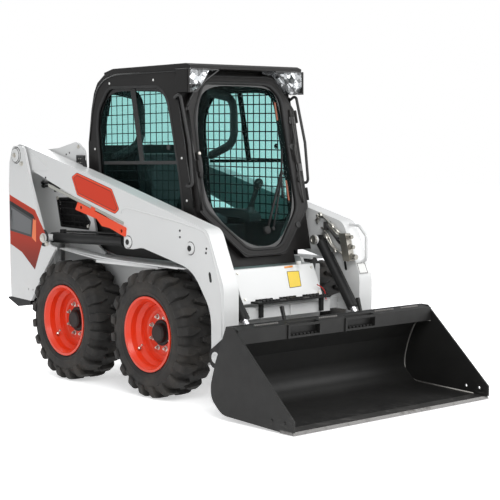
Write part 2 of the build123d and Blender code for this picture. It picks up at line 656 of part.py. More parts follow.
# Coupler frame: plate along the bucket's back, ears for the arm tips and the tilt rods, two levers
ear_thickness = 8.0
ear_outline = [(-790, 386, 0), (-742, 440, 20), (-650, 440, 50), (-490, 330, 50), (-505, 245, 40), (-600, 225, 30),
               (-722, 240, 0), (-758, 340, 0)]
ear_insides = [tilt_x - tilt_eye_width / 2 - 7 - ear_thickness, arm_in - 4 - ear_thickness, arm_out + 4]
pin_in, pin_out = arm_in - 12, arm_out + 12
with BuildPart() as coupler_frame:
    with BuildSketch(side_plane(-pin_out)):
        outline([(-830, 468, 0), (-808, 478, 0), (-742, 325, 0), (-700, 205, 0), (-718, 200, 0), (-764, 322.5, 0)])
    extrude(amount=2 * pin_out)
    box_at(-380, 380, -900, -600, 260, 420, Mode.SUBTRACT)
    for x in ear_insides:
        with BuildSketch(side_plane(x)):
            outline(ear_outline)
        extrude(amount=ear_thickness)
    rod_at(pin_in, pin_out, bucket_pin, bucket_pin_radius)
    with BuildSketch(side_plane(300)):
        outline([(-826, 466, 0), (-812, 470, 6), (-770, 590, 6), (-790, 596, 6)])
    extrude(amount=16)
    mirror(about=Plane.YZ)
save(coupler_frame, "coupler_frame")

# ---- Cab ------------------------------------------------------------------------------------
front_line = Plane(origin=(0, front_axle_y + pillar_d(1400), 1400 + ride_rise), x_dir=(1, 0, 0), z_dir=(0, -1, 0))
door_plane = Plane(origin=(0, front_axle_y + pillar_d(1400) - seat_gap, 1400 + ride_rise), x_dir=(1, 0, 0),
                   z_dir=(0, -1, pillar_lean))
door_outline = [(-300, 545), (300, 545), (345, 476), (440, 330), (440, -300), (195, -588), (-135, -588),
                (-440, -300), (-440, 330), (-345, 476)]
door_opening = [(-278, 494), (255, 494), (342, 410), (350, -305), (160, -545), (-100, -545), (-400, -275),
                (-380, 290)]
door_corner = 50.0
cab_outline = [
    (pillar_d(cab_floor_z), cab_floor_z, 0), (pillar_d(cab_top_z), cab_top_z, 0), (cab_rear_d - 188, cab_top_z, 40),
    (cab_rear_d - 108, 1912, 60), (cab_rear_d - 69, 1849, 60), (cab_rear_d - 38, 1742, 60), (cab_rear_d, 1527, 60),
    (cab_rear_d, 880, 30), (cab_rear_d - 93, 860, 20), (640, 812, 60), (-120, 806, 0),
]
side_window = [(cab_rear_d - 228, 1878, 40), (cab_rear_d - 112, 1740, 40), (cab_rear_d - 97, 1611, 60),
               (cab_rear_d - 162, 1000, 60), (-70, 1000, 40), (-30, 1303, 60), (80, 1785, 60), (159, 1870, 40)]
cab_inside = cab_half_width - cab_side_wall
with BuildPart() as cab_frame:
    with BuildSketch(side_plane(-cab_half_width)):
        outline(cab_outline)
    extrude(amount=2 * cab_half_width)
    with BuildSketch(side_plane(-cab_inside)):
        outline(cab_outline)
        offset(amount=-cab_post, mode=Mode.REPLACE)
    extrude(amount=2 * cab_inside, mode=Mode.SUBTRACT)
    for d, z in ((-200, 845), (-170, 916)):
        box_at(-cab_inside, cab_inside, d, cab_rear_d - cab_post, 760, z, Mode.SUBTRACT)
    for x in (-cab_half_width - 1, 300):
        box_at(x, x + cab_half_width - 299, -300, -100, 760, 850, Mode.SUBTRACT)
    with BuildSketch(side_plane(-cab_half_width - 1)):
        outline(side_window)
    extrude(amount=2 * cab_half_width + 2, mode=Mode.SUBTRACT)
    box_at(-340, 340, cab_rear_d - 100, cab_rear_d + 50, 1330, 1700, Mode.SUBTRACT)
    with BuildSketch(front_line):
        with BuildLine():
            FilletPolyline(*door_opening, radius=door_corner, close=True)
        make_face()
    extrude(amount=400, both=True, mode=Mode.SUBTRACT)
    for v in door_hinge_v:
        low = v - seat_gap - knuckle_height
        slab(door_plane, door_hinge_x, door_hinge_x + 8, low, v - seat_gap, -10, door_thickness)
        post(door_plane, door_hinge_x, door_thickness, low, v - seat_gap, knuckle_radius)
        post(door_plane, door_hinge_x, door_thickness, v - seat_gap - 1, v + knuckle_height, hinge_pin_radius)
save(cab_frame, "cab_frame")

# Ears on the cab's rear corners that take the pins it tips back on
with BuildPart() as cab_pivots:
    with BuildSketch(side_plane(cab_half_width - 22)):
        with Locations(cab_pivot):
            Circle(28)
        outline([(cab_rear_d, cab_pivot[1] - 28, 0), (cab_pivot[0], cab_pivot[1] - 28, 0),
                 (cab_pivot[0], cab_pivot[1] + 28, 0), (cab_rear_d, cab_pivot[1] + 28, 0)])
        with Locations(cab_pivot):
            Circle(cab_pivot_radius + pin_clearance, mode=Mode.SUBTRACT)
    extrude(amount=20)
    mirror(about=Plane.YZ)
save(cab_pivots, "cab_pivots")

visor_d = -138.0
visor_z = cab_top_z + 6.5       # the underside ahead of the pillars, clear of the opened door
with BuildPart() as cab_roof:
    with BuildSketch(side_plane(-cab_half_width)):
        outline([(visor_d, visor_z, 0), (visor_d, cab_top_z + 23, 6), (visor_d + 38, roof_top_z, 20),
                 (cab_rear_d - 283, roof_top_z - 4, 40), (cab_rear_d - 185, cab_top_z + 12, 4),
                 (cab_rear_d - 188, cab_top_z + seat_gap, 0), (pillar_d(cab_top_z), cab_top_z + seat_gap, 0),
                 (pillar_d(cab_top_z) - 4, visor_z, 0)])
    extrude(amount=2 * cab_half_width)
    for x in (-260, -88, 84):
        box_at(x, x + 176, 60, cab_rear_d - 330, roof_top_z - 7, roof_top_z + 1, Mode.SUBTRACT)
save(cab_roof, "cab_roof")

glass_thickness = 6.0
with BuildPart() as side_windows:
    with BuildSketch(side_plane(cab_half_width - 20)):
        outline(side_window)
    extrude(amount=glass_thickness)
    mirror(about=Plane.YZ)
save(side_windows, "side_windows")

with BuildPart() as rear_window:
    box_at(-340, 340, cab_rear_d - 24, cab_rear_d - 18, 1330, 1527)
save(rear_window, "rear_window")

# Seat: base cushion, backrest with bolsters, head part
seat_half = 220.0
seat_base_top = 979.7
with BuildPart() as seat:
    with BuildSketch(side_plane(-seat_half)):
        outline([(300, 1000, 20), (312, 1070, 36), (600, 1050, 30), (700, 1060, 30), (700, seat_base_top, 10),
                 (340, seat_base_top, 12)])
    extrude(amount=2 * seat_half)
    with BuildSketch(side_plane(-seat_half + 10)):
        outline([(596, 1030, 10), (646, 1470, 40), (730, 1478, 30), (770, 1440, 30), (716, 1030, 10)])
    extrude(amount=2 * seat_half - 20)
    for x in (-seat_half + 10, seat_half - 70):
        with BuildSketch(side_plane(x)):
            outline([(560, 1040, 10), (606, 1380, 40), (660, 1400, 20), (650, 1040, 10)])
        extrude(amount=60)
save(seat, "seat")

with BuildPart() as seat_base:
    box_at(-cab_inside + seat_gap, cab_inside - seat_gap, 400, cab_rear_d - cab_post - seat_gap, 885, seat_base_top)
save(seat_base, "seat_base")

# Control levers beside the seat, on their consoles
console_x = 300.0
with BuildPart() as control_levers:
    for x in (-console_x, console_x):
        with BuildSketch(side_plane(x - 50)):
            outline([(140, 1010, 10), (140, 1060, 30), (220, 1092, 20), (570, 1092, 20), (570, 1040, 10), (240, 1036, 40)])
        extrude(amount=100)
        box_at(x - 40, x + 40, 470, 560, seat_base_top, 1060)
        tube_along(side_plane(x), [(196, 1070), (176, 1130), (120, 1240)], 30, 16)
        with BuildSketch(Plane(origin=(x, front_axle_y + 190, 1072 + ride_rise))):
            Circle(34)
        extrude(amount=34, taper=20)
save(control_levers, "control_levers")

# Seat bar: a loop on each side of the seat, joined behind it
bar_x = 385.0
with BuildPart() as seat_bar:
    for x in (-bar_x, bar_x):
        tube_along(side_plane(x), [(700, 1850), (455, 1805), (455, 1525), (700, 1440)], 60, 18)
        rod_at(min(x, math.copysign(cab_inside, x)), max(x, math.copysign(cab_inside, x)), (690, 1848), 16)
        rod_at(min(x, math.copysign(cab_inside, x)), max(x, math.copysign(cab_inside, x)), (690, 1443.5), 16)
save(seat_bar, "seat_bar")

# Head lamps under the visor's corners, cut clear of the door's swing
lamp_outline = [(213, visor_z), (323, 1901), (401, 1828), (462, 1828), (462, 1920), (cab_half_width, visor_z)]
sweep_gap = 7.0
with BuildPart() as door_path:
    with BuildSketch(door_plane.offset(door_thickness)) as door_face:
        with BuildLine():
            Polyline((-304, 545 + sweep_gap), (304, 545 + sweep_gap), (door_hinge_x - 1, 334), (door_hinge_x - 1, 0),
                     (-440 - sweep_gap, 0), (-440 - sweep_gap, 334), close=True)
        make_face()
    revolve(axis=Axis(door_plane.from_local_coords(Vector(door_hinge_x, 0, door_thickness)), door_plane.y_dir),
            revolution_arc=90)
    extrude(door_face.sketch, amount=-door_thickness - sweep_gap)
with BuildPart() as headlamps:
    lamp_plane = Plane(origin=(0, front_axle_y + visor_d, ride_rise), x_dir=(1, 0, 0), z_dir=(0, -1, 0))
    with BuildSketch(lamp_plane):
        with BuildLine():
            Polyline(*lamp_outline, close=True)
        make_face()
    extrude(amount=-120)
    mirror(about=Plane.YZ)
    with BuildSketch(side_plane(-cab_half_width - 20)):
        outline([(visor_d - 20, visor_z - 70, 0), (visor_d - 20, visor_z - 160, 0), (visor_d + 60, visor_z - 160, 0)])
    extrude(amount=2 * cab_half_width + 40, mode=Mode.SUBTRACT)
    with BuildSketch(side_plane(-cab_half_width - 20)):
        outline([(pillar_d(1800) - 1, 1800, 0), (pillar_d(2000) - 1, 2000, 0), (60, 2000, 0), (60, 1800, 0)])
    extrude(amount=2 * cab_half_width + 40, mode=Mode.SUBTRACT)
    add(door_path.part, mode=Mode.SUBTRACT)
save(headlamps, "headlamps")

rail_x = cab_half_width + 20
rail_radius = 9.0
rail_v = (-130.0, 407.0)        # its two feet
with BuildPart() as grab_rail:
    rail_plane = Plane(origin=door_plane.from_local_coords(Vector(-rail_x, 0, 0)), x_dir=door_plane.y_dir,
                       z_dir=(1, 0, 0))
    rail_side = -1 if rail_plane.y_dir.Y > 0 else 1
    tube_along(rail_plane, [(rail_v[0], rail_side * -14), (rail_v[0] - 17, rail_side * 42), (110, rail_side * 66),
                            (rail_v[1] + 17, rail_side * 45), (rail_v[1], rail_side * -14)], 24, rail_radius)
    for v in rail_v:
        slab(door_plane, -rail_x, -cab_half_width, v - 9, v + 9, -20, -11)
    mirror(about=Plane.YZ)
save(grab_rail, "grab_rail")

# ---- Cab door -------------------------------------------------------------------------------
with BuildPart() as door_frame:
    with BuildSketch(door_plane):
        with BuildLine():
            FilletPolyline(*door_outline, radius=30, close=True)
        make_face()
        with BuildLine():
            FilletPolyline(*door_opening, radius=door_corner, close=True)
        make_face(mode=Mode.SUBTRACT)
    extrude(amount=door_thickness)
    for v in door_hinge_v:
        slab(door_plane, door_hinge_x - 14, door_hinge_x, v, v + knuckle_height, door_thickness - 6, door_thickness)
        post(door_plane, door_hinge_x, door_thickness, v, v + knuckle_height, knuckle_radius)
        post(door_plane, door_hinge_x, door_thickness, v - 1, v + knuckle_height + 1,
             hinge_pin_radius + pin_clearance, Mode.SUBTRACT)
    slab(door_plane, -432, -396, -70, 20, door_thickness, door_thickness + 10)
    slab(door_plane, -424, -404, -60, 10, door_thickness + 10, door_thickness + 26)
save(door_frame, "door_frame")

with BuildPart() as door_glass:
    with BuildSketch(door_plane.offset(24)):
        with BuildLine():
            FilletPolyline(*door_opening, radius=door_corner, close=True)
        make_face()
    extrude(amount=glass_thickness)
save(door_glass, "door_glass")

# Wiper: motor cap at the glass's foot, two arms and the blade they carry
wiper_w = 34.0
wiper_foot = (-60.0, -440.0)
wiper_top = (20.0, 120.0)
with BuildPart() as door_wiper:
    with BuildSketch(door_plane.offset(glass_thickness + 24)):
        with Locations(wiper_foot):
            Circle(26)
    extrude(amount=16)
    wiper_plane = door_plane.offset(wiper_w)
    for shift in (0.0, 26.0):
        with BuildSketch(wiper_plane):
            with BuildLine():
                Polyline((wiper_foot[0] + shift - 5, wiper_foot[1]), (wiper_foot[0] + shift + 5, wiper_foot[1]),
                         (wiper_top[0] + shift + 4, wiper_top[1]), (wiper_top[0] + shift - 4, wiper_top[1]), close=True)
            make_face()
        extrude(amount=6)
    slab(door_plane, wiper_top[0] - 12, wiper_top[0] + 40, wiper_top[1] - 8, wiper_top[1] + 8, wiper_w, wiper_w + 8)
    slab(door_plane, wiper_top[0] + 6, wiper_top[0] + 18, -160, 360, glass_thickness + 25, wiper_w + 2)
save(door_wiper, "door_wiper")

# ---- Rear doors -----------------------------------------------------------------------------
tailgate_z = (545.0, 1250.0)
tailgate_d = wheelbase + plate_rear + 2
tailgate_depth = 32.0
hood_half_width = inner_plate_in - 6
louvre_count = 9
with BuildPart() as tailgate:
    box_at(-tailgate_half_width, tailgate_half_width, tailgate_d, tailgate_d + tailgate_depth, *tailgate_z)
    box_at(-380, 380, tailgate_d + 20, tailgate_d + 40, 690, 1180, Mode.SUBTRACT)
    box_at(-340, 340, tailgate_d - 1, tailgate_d + 40, 720, 1150, Mode.SUBTRACT)
    for k in range(louvre_count):
        z = 735 + k * 400 / (louvre_count - 1)
        box_at(-342, 342, tailgate_d + 4, tailgate_d + 18, z - 9, z + 9)
    for x in (-tailgate_half_width + 30, tailgate_half_width - 130):
        box_at(x, x + 100, tailgate_d + tailgate_depth - 8, tailgate_d + tailgate_depth + 1, 590, 700, Mode.SUBTRACT)
    box_at(-70, 70, tailgate_d + tailgate_depth, tailgate_d + tailgate_depth + 14, 600, 640)
    for z in tailgate_hinge_z:
        box_at(tailgate_half_width - 6, hinge_x, hinge_d - 4, hinge_d + 6, z, z + knuckle_height)
        post(tailgate_plane, -hinge_x, 0, z, z + knuckle_height, knuckle_radius)
        post(tailgate_plane, -hinge_x, 0, z - 1, z + knuckle_height + 1, hinge_pin_radius + pin_clearance,
             Mode.SUBTRACT)
save(tailgate, "tailgate")

with BuildPart() as tail_lamps:
    for x in (-tailgate_half_width + 36, tailgate_half_width - 124):
        box_at(x, x + 88, tailgate_d + tailgate_depth - 8, tailgate_d + tailgate_depth + 6, 596, 694)
save(tail_lamps, "tail_lamps")

hood_z = (hood_hinge[1] - 6, hood_hinge[1] + 14)
hood_rear = wheelbase + 706
with BuildPart() as rear_hood:
    box_at(-hood_half_width, hood_half_width, hood_hinge[0], hood_rear, *hood_z)
    box_at(-380, 380, hood_hinge[0] + 70, hood_rear - 60, hood_z[0] - 1, hood_z[1] + 1, Mode.SUBTRACT)
    for k in range(12):
        d = hood_hinge[0] + 92 + k * 34
        box_at(-382, 382, d - 9, d + 9, hood_z[0] + 2, hood_z[1])
    box_at(-8, 8, hood_hinge[0] + 68, hood_rear - 58, *hood_z)
    rod_at(-hood_half_width, hood_half_width, hood_hinge, 13)
    for x in (-hood_half_width - 1, 429):
        rod_at(x, x + hood_half_width - 428, hood_hinge, hood_hinge_radius + pin_clearance, Mode.SUBTRACT)
save(rear_hood, "rear_hood")
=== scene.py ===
"""Skid steer loader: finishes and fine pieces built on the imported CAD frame.

Places are given as (x, d, z) in millimetres: x towards the machine's left, d behind the front
axle, z above the ground. Outlines on a side of the machine are (d, z) pairs.
"""
import logging
import math
from dataclasses import dataclass
from enum import Enum
from typing import Any, Optional, Sequence, Union

import bmesh
import bpy
import numpy as np
from mathutils import Matrix, Vector


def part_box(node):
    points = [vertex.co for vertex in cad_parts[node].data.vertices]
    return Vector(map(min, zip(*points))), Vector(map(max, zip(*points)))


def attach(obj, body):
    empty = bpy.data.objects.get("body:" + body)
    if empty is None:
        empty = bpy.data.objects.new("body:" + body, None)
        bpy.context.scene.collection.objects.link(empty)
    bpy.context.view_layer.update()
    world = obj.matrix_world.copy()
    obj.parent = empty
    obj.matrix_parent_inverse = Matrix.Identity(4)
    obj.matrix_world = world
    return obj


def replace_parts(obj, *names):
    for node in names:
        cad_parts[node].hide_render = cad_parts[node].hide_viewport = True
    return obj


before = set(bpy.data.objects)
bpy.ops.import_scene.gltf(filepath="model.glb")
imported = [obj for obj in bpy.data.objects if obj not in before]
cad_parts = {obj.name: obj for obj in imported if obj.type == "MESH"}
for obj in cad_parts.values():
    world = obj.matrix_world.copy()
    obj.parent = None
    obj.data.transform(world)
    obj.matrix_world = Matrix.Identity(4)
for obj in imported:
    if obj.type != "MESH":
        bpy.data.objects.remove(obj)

log = logging.getLogger("loader")
MM = 0.001
Colour = tuple[float, float, float]
Number = Union[float, "Sock"]
Rows = Sequence[Sequence[float]]
Shape = tuple[np.ndarray, list[list[int]]]


# ---- Shader maths ---------------------------------------------------------------------------
class Sock:
    """An output socket with arithmetic, so shader maths reads as Python."""

    def __init__(self, graph: "Graph", socket: bpy.types.NodeSocket) -> None:
        """Args: graph, the material's graph; socket, the output it wraps."""
        self.graph = graph
        self.socket = socket

    def math(self, operation: str, *others: Number) -> "Sock":
        """Math node on this value and the others, in order."""
        return self.graph.maths(operation, self, *others)

    def __add__(self, other: Number) -> "Sock":
        """self + other."""
        return self.math("ADD", other)

    def __radd__(self, other: Number) -> "Sock":
        """other + self."""
        return self.math("ADD", other)

    def __sub__(self, other: Number) -> "Sock":
        """self - other."""
        return self.math("SUBTRACT", other)

    def __rsub__(self, other: Number) -> "Sock":
        """other - self."""
        return self.graph.maths("SUBTRACT", other, self)

    def __mul__(self, other: Number) -> "Sock":
        """self * other."""
        return self.math("MULTIPLY", other)

    def __rmul__(self, other: Number) -> "Sock":
        """other * self."""
        return self.math("MULTIPLY", other)

    def __truediv__(self, other: Number) -> "Sock":
        """self / other."""
        return self.math("DIVIDE", other)

    def absolute(self) -> "Sock":
        """The value without its sign."""
        return self.math("ABSOLUTE")

    def smooth(self, low: float, high: float) -> "Sock":
        """0 up to low, 1 from high, with a smooth step between."""
        return self.graph.add("ShaderNodeMapRange", {"interpolation_type": "SMOOTHSTEP"},
                              {"Value": self, "From Min": low, "From Max": high}, "Result")


class Graph:
    """The node tree of one material or world."""

    def __init__(self, name: str, kind: str = "materials") -> None:
        """Args: name, the owner's name; kind, materials or worlds."""
        self.owner = getattr(bpy.data, kind).new(name)
        self.owner.use_nodes = True
        self.tree = self.owner.node_tree
        self.tree.nodes.clear()
        self.output = "ShaderNodeOutputWorld" if kind == "worlds" else "ShaderNodeOutputMaterial"

    def add(self, kind: str, settings: Optional[dict[str, Any]] = None,
            inputs: Optional[dict[Union[str, int], Any]] = None, out: Union[str, int] = 0) -> Sock:
        """Make a node.

        Args:
            kind: the node's type.
            settings: its properties, set first.
            inputs: values or Socks for its sockets, by name or number.
            out: the output to return.

        Returns:
            The chosen output.
        """
        node = self.tree.nodes.new(kind)
        for key, value in (settings or {}).items():
            setattr(node, key, value)
        for key, value in (inputs or {}).items():
            if isinstance(value, Sock):
                self.tree.links.new(value.socket, node.inputs[key])
            else:
                node.inputs[key].default_value = value
        return Sock(self, node.outputs[out])

    def maths(self, operation: str, *values: Number) -> Sock:
        """Math node of the operation on the values."""
        return self.add("ShaderNodeMath", {"operation": operation}, dict(enumerate(values)))

    def coords(self) -> Sock:
        """Object coordinates, in metres in the machine's frame."""
        return self.add("ShaderNodeTexCoord", out="Object")

    def axis(self, name: str) -> Sock:
        """One of X, Y, Z of the Object coordinates."""
        return self.add("ShaderNodeSeparateXYZ", inputs={0: self.coords()}, out=name)

    def noise(self, scale: float, detail: float = 3.0, rough: float = 0.5,
              stretch: Colour = (1.0, 1.0, 1.0)) -> Sock:
        """Noise of that many cells a metre, stretched along the axes."""
        place = self.add("ShaderNodeMapping", inputs={"Vector": self.coords(), "Scale": stretch})
        return self.add("ShaderNodeTexNoise", inputs={"Vector": place, "Scale": scale, "Detail": detail,
                                                      "Roughness": rough}, out="Fac")

    def mix(self, factor: Number, first: Any, second: Any) -> Sock:
        """Colour between first and second by factor."""
        full = {6: first, 7: second}
        inputs = {k: v if isinstance(v, Sock) else (*v, 1.0) for k, v in full.items()}
        return self.add("ShaderNodeMix", {"data_type": "RGBA"}, {0: factor, **inputs}, 2)

    def bump(self, height: Sock, strength: float, depth: float, under: Optional[Sock] = None) -> Sock:
        """Bump normal of a height field; depth in metres."""
        inputs: dict[Union[str, int], Any] = {"Height": height, "Strength": strength, "Distance": depth}
        if under is not None:
            inputs["Normal"] = under
        return self.add("ShaderNodeBump", inputs=inputs)

    def surface(self, inputs: dict[str, Any]) -> Sock:
        """Principled shader with those sockets."""
        return self.add("ShaderNodeBsdfPrincipled", inputs=inputs)

    def bevel(self, radius: float) -> Sock:
        """Normal rounded over the edges by a radius in metres."""
        return self.add("ShaderNodeBevel", {"samples": 4}, {"Radius": radius})

    def through(self, colour: Colour) -> Sock:
        """Transparent shader of a tint."""
        return self.add("ShaderNodeBsdfTransparent", inputs={"Color": (*colour, 1.0)})

    def ray(self, kind: str) -> Sock:
        """1 for rays of a kind, such as Camera."""
        return self.add("ShaderNodeLightPath", out=f"Is {kind} Ray")

    def finish(self, shader: Sock) -> Union[bpy.types.Material, bpy.types.World]:
        """Link the shader to the output and return the owner."""
        output = self.tree.nodes.new(self.output)
        self.tree.links.new(shader.socket, output.inputs[0])
        return self.owner


# ---- Finishes -------------------------------------------------------------------------------
@dataclass(frozen=True)
class Coating:
    """A finish: its material's name, its colour and the shader that its kind builds."""

    name: str
    colour: Colour

    def times(self, share: float) -> Colour:
        """Its colour, scaled."""
        return tuple(c * share for c in self.colour)

    def make(self) -> bpy.types.Material:
        """Build the material."""
        g = Graph(self.name)
        return g.finish(self.shader(g))

    def shader(self, g: Graph) -> Sock:
        """The closing shader, made in g."""
        raise NotImplementedError


@dataclass(frozen=True)
class Paint(Coating):
    """Sprayed gloss or satin paint over steel: fine orange peel, soft edges, a little dust low down."""

    roughness: float = 0.32
    coat: float = 0.25
    peel: float = 0.12
    dust: float = 0.25
    edge: float = 0.002

    def shader(self, g: Graph) -> Sock:
        """Dust film = (1 - height) noise; it dulls the paint as it covers it."""
        tone = g.mix(g.noise(3.0, 4.0) * 0.5, self.colour, self.times(0.88))
        low = 1.0 - g.axis("Z").smooth(0.05, 0.85)
        film = (low * g.noise(9.0, 5.0).smooth(0.42, 0.75)) * self.dust
        rough = self.roughness + (film * 0.5 + g.noise(60.0, 2.0) * 0.08)
        normal = g.bump(g.noise(700.0, 2.0), self.peel, 0.0003, g.bevel(self.edge))
        return g.surface({"Base Color": g.mix(film, tone, (0.32, 0.27, 0.21)), "Roughness": rough, "Normal": normal,
                          "Coat Weight": self.coat, "Coat Roughness": 0.12})


@dataclass(frozen=True)
class PowderCoat(Coating):
    """Textured powder coat: a fine pebbled skin whose rounded edges are lightened, a painted highlight."""

    roughness: float = 0.5
    grain: float = 900.0
    depth: float = 0.35
    edge_glint: float = 0.35
    edge: float = 0.0025

    def shader(self, g: Graph) -> Sock:
        """The painted edge highlight's mask is 1 - (rounded normal . true normal), stepped."""
        soft = g.bevel(self.edge)
        flat = g.add("ShaderNodeNewGeometry", out="Normal")
        turn = 1.0 - g.add("ShaderNodeVectorMath", {"operation": "DOT_PRODUCT"}, {0: soft, 1: flat}, "Value")
        # painted highlight: the rounded edges are mixed towards a paler colour, broken up by noise
        glint_mask = (turn * (0.6 + g.noise(40.0, 3.0))).smooth(0.03, 0.28) * self.edge_glint
        tone = g.mix(g.noise(5.0, 4.0).smooth(0.3, 0.7), self.colour, self.times(1.35))
        glint_colour = tuple(min(1.0, c * 3.0 + 0.03) for c in self.colour)
        rough = self.roughness + g.noise(25.0, 3.0) * 0.14
        return g.surface({"Base Color": g.mix(glint_mask, tone, glint_colour), "Roughness": rough, "Specular IOR Level": 0.22,
                          "Normal": g.bump(g.noise(self.grain, 3.0, 0.6), self.depth, 0.0006, soft)})


@dataclass(frozen=True)
class MouldedRubber(Coating):
    """Tyre or seal rubber with a greyish bloom, brown dust and fine mould marks."""

    colour: Colour = (0.0125, 0.0115, 0.0105)
    dust: Colour = (0.058, 0.049, 0.040)
    amount: float = 0.5

    def shader(self, g: Graph) -> Sock:
        """Height = fine noise + 1.5 coarse noise."""
        patch = g.noise(6.0, 6.0, 0.6).smooth(0.40, 0.72) * self.amount
        height = g.noise(500.0, 4.0, 0.6) + g.noise(70.0, 4.0) * 1.5
        return g.surface({"Base Color": g.mix(patch, self.colour, self.dust),
                          "Roughness": 0.62 + g.noise(30.0, 3.0) * 0.25, "Normal": g.bump(height, 0.3, 0.0006)})


@dataclass(frozen=True)
class Steel(Coating):
    """Bare or plated steel with fine brushing along one axis and darker stains."""

    stain: Colour = (0.10, 0.09, 0.08)
    roughness: float = 0.28
    stained: float = 0.35

    def shader(self, g: Graph) -> Sock:
        """Stains are rougher and less metallic."""
        brush = g.noise(300.0, 3.0, 0.6, (1.0, 8.0, 1.0))
        patch = g.noise(22.0, 5.0).smooth(0.5, 0.8) * self.stained
        return g.surface({"Base Color": g.mix(patch, self.colour, self.stain),
                          "Roughness": self.roughness + (brush * 0.12 + patch * 0.4),
                          "Metallic": 1.0 - patch * 0.5, "Normal": g.bump(brush, 0.12, 0.0002)})


@dataclass(frozen=True)
class BucketCoat(Coating):
    """Charcoal bucket paint, scuffed along the lip, the line (lip_y, lip_z) in metres."""

    lip_y: float
    lip_z: float

    def shader(self, g: Graph) -> Sock:
        """Wear falls off with 0.9 |y - lip_y| + 1.4 |z - lip_z|."""
        ahead, low = g.axis("Y") - self.lip_y, g.axis("Z") - self.lip_z
        reach = ahead.absolute() * 0.9 + low.absolute() * 1.4
        near = 1.0 - reach.smooth(0.02, 0.30)
        scratch = g.noise(16.0, 6.0, 0.7, (2.0, 1.0, 3.0)).smooth(0.48, 0.74)
        tone = g.mix(g.noise(4.0, 5.0).smooth(0.3, 0.75), self.colour, self.times(1.5))
        return g.surface({"Base Color": g.mix(near * scratch * 0.35, tone, (0.15, 0.145, 0.135)),
                          "Roughness": 0.44 + g.noise(18.0, 4.0) * 0.2, "Specular IOR Level": 0.4,
                          "Normal": g.bump(g.noise(600.0, 3.0), 0.15, 0.0004, g.bevel(0.0025))})


@dataclass(frozen=True)
class Pane(Coating):
    """Thin tinted glass: what is behind is coloured by the tint, with reflections on top."""

    base: float = 0.025
    haze: float = 0.01

    def shader(self, g: Graph) -> Sock:
        """Share of reflection = base + 0.6 (1 - cos angle)^5, plus a faint smear."""
        film = g.noise(5.0, 4.0).smooth(0.35, 0.8)
        gloss = g.surface({"Base Color": (0.02, 0.03, 0.03, 1.0), "Roughness": film * 0.05 + 0.02})
        facing = g.add("ShaderNodeLayerWeight", inputs={"Blend": 0.5}, out="Facing")
        share = facing.math("POWER", 5.0) * 0.6 + (film * self.haze + self.base)
        return g.add("ShaderNodeMixShader", inputs={0: share, 1: g.through(self.colour), 2: gloss})


@dataclass(frozen=True)
class ClearLens(Coating):
    """Clear lens over a faceted reflector: facets of painted reflection, some bright and some dark mirror, partly seen
    through.
    """

    colour: Colour = (0.90, 0.92, 0.93)
    facets: float = 38.0

    def shader(self, g: Graph) -> Sock:
        """Each Voronoi cell tilts the normal by 0.9 (its colour - 0.5)."""
        def vector(operation: str, inputs: dict[Union[str, int], Any]) -> Sock:
            """Vector Math node."""
            return g.add("ShaderNodeVectorMath", {"operation": operation}, inputs)
        cell = g.add("ShaderNodeTexVoronoi", {}, {"Vector": g.coords(), "Scale": self.facets}, "Color")
        tilt = vector("SCALE", {0: vector("SUBTRACT", {0: cell, 1: (0.5, 0.5, 0.5)}), "Scale": 0.9})
        normal = vector("ADD", {0: g.add("ShaderNodeNewGeometry", out="Normal"), 1: tilt})
        pick = g.add("ShaderNodeSeparateXYZ", inputs={0: cell}, out="X")
        # painted reflection: each facet's mirror colour is set dark or bright by its cell
        tone = g.mix(pick.smooth(0.15, 0.6), (0.16, 0.165, 0.17), (0.80, 0.82, 0.84))
        mirror = g.surface({"Base Color": tone, "Roughness": 0.12, "Metallic": 0.7, "Coat Weight": 0.6,
                            "Normal": vector("NORMALIZE", {0: normal}), "Coat Roughness": 0.04})
        return g.add("ShaderNodeMixShader", inputs={0: 0.88 - pick * 0.1, 1: g.through(self.colour), 2: mirror})


@dataclass(frozen=True)
class Vinyl(Coating):
    """Seat vinyl with leather grain and paler rubbed crowns."""

    colour: Colour = (0.028, 0.028, 0.030)

    def shader(self, g: Graph) -> Sock:
        """Grain = distance to the nearest Voronoi cell, smoothed."""
        cells = g.add("ShaderNodeTexVoronoi", {"feature": "SMOOTH_F1"}, {"Vector": g.coords(), "Scale": 520.0},
                      "Distance")
        rub = g.noise(8.0, 3.0).smooth(0.4, 0.7) * 0.4
        return g.surface({"Base Color": g.mix(rub, self.colour, self.times(1.8)), "Roughness": 0.48 + rub * 0.2,
                          "Normal": g.bump(cells, 0.4, 0.0006)})


@dataclass(frozen=True)
class Plastic(Coating):
    """Moulded plastic with a fine spark-eroded grain."""

    roughness: float = 0.5
    grain: float = 1400.0

    def shader(self, g: Graph) -> Sock:
        """Cloudy colour under an even grain."""
        return g.surface({"Base Color": g.mix(g.noise(7.0, 3.0), self.colour, self.times(0.85)),
                          "Roughness": self.roughness + g.noise(40.0, 2.0) * 0.1,
                          "Normal": g.bump(g.noise(self.grain, 2.0), 0.25, 0.0003)})


@dataclass(frozen=True)
class HoseCover(Coating):
    """Hydraulic hose cover: cloudy dark rubber, with a wrap on pieces that carry a UV map."""

    colour: Colour = (0.03, 0.029, 0.028)
    turns: float = 60.0

    def shader(self, g: Graph) -> Sock:
        """Height = a wave of turns * v."""
        place = g.add("ShaderNodeTexCoord", out="UV")
        wrap = g.add("ShaderNodeTexWave", {"bands_direction": "Y"}, {"Vector": place, "Scale": self.turns}, "Fac")
        return g.surface({"Base Color": g.mix(g.noise(30.0, 3.0), self.colour, self.times(1.7)),
                          "Roughness": 0.5 + g.noise(20.0, 2.0) * 0.1, "Normal": g.bump(wrap, 0.3, 0.0006)})


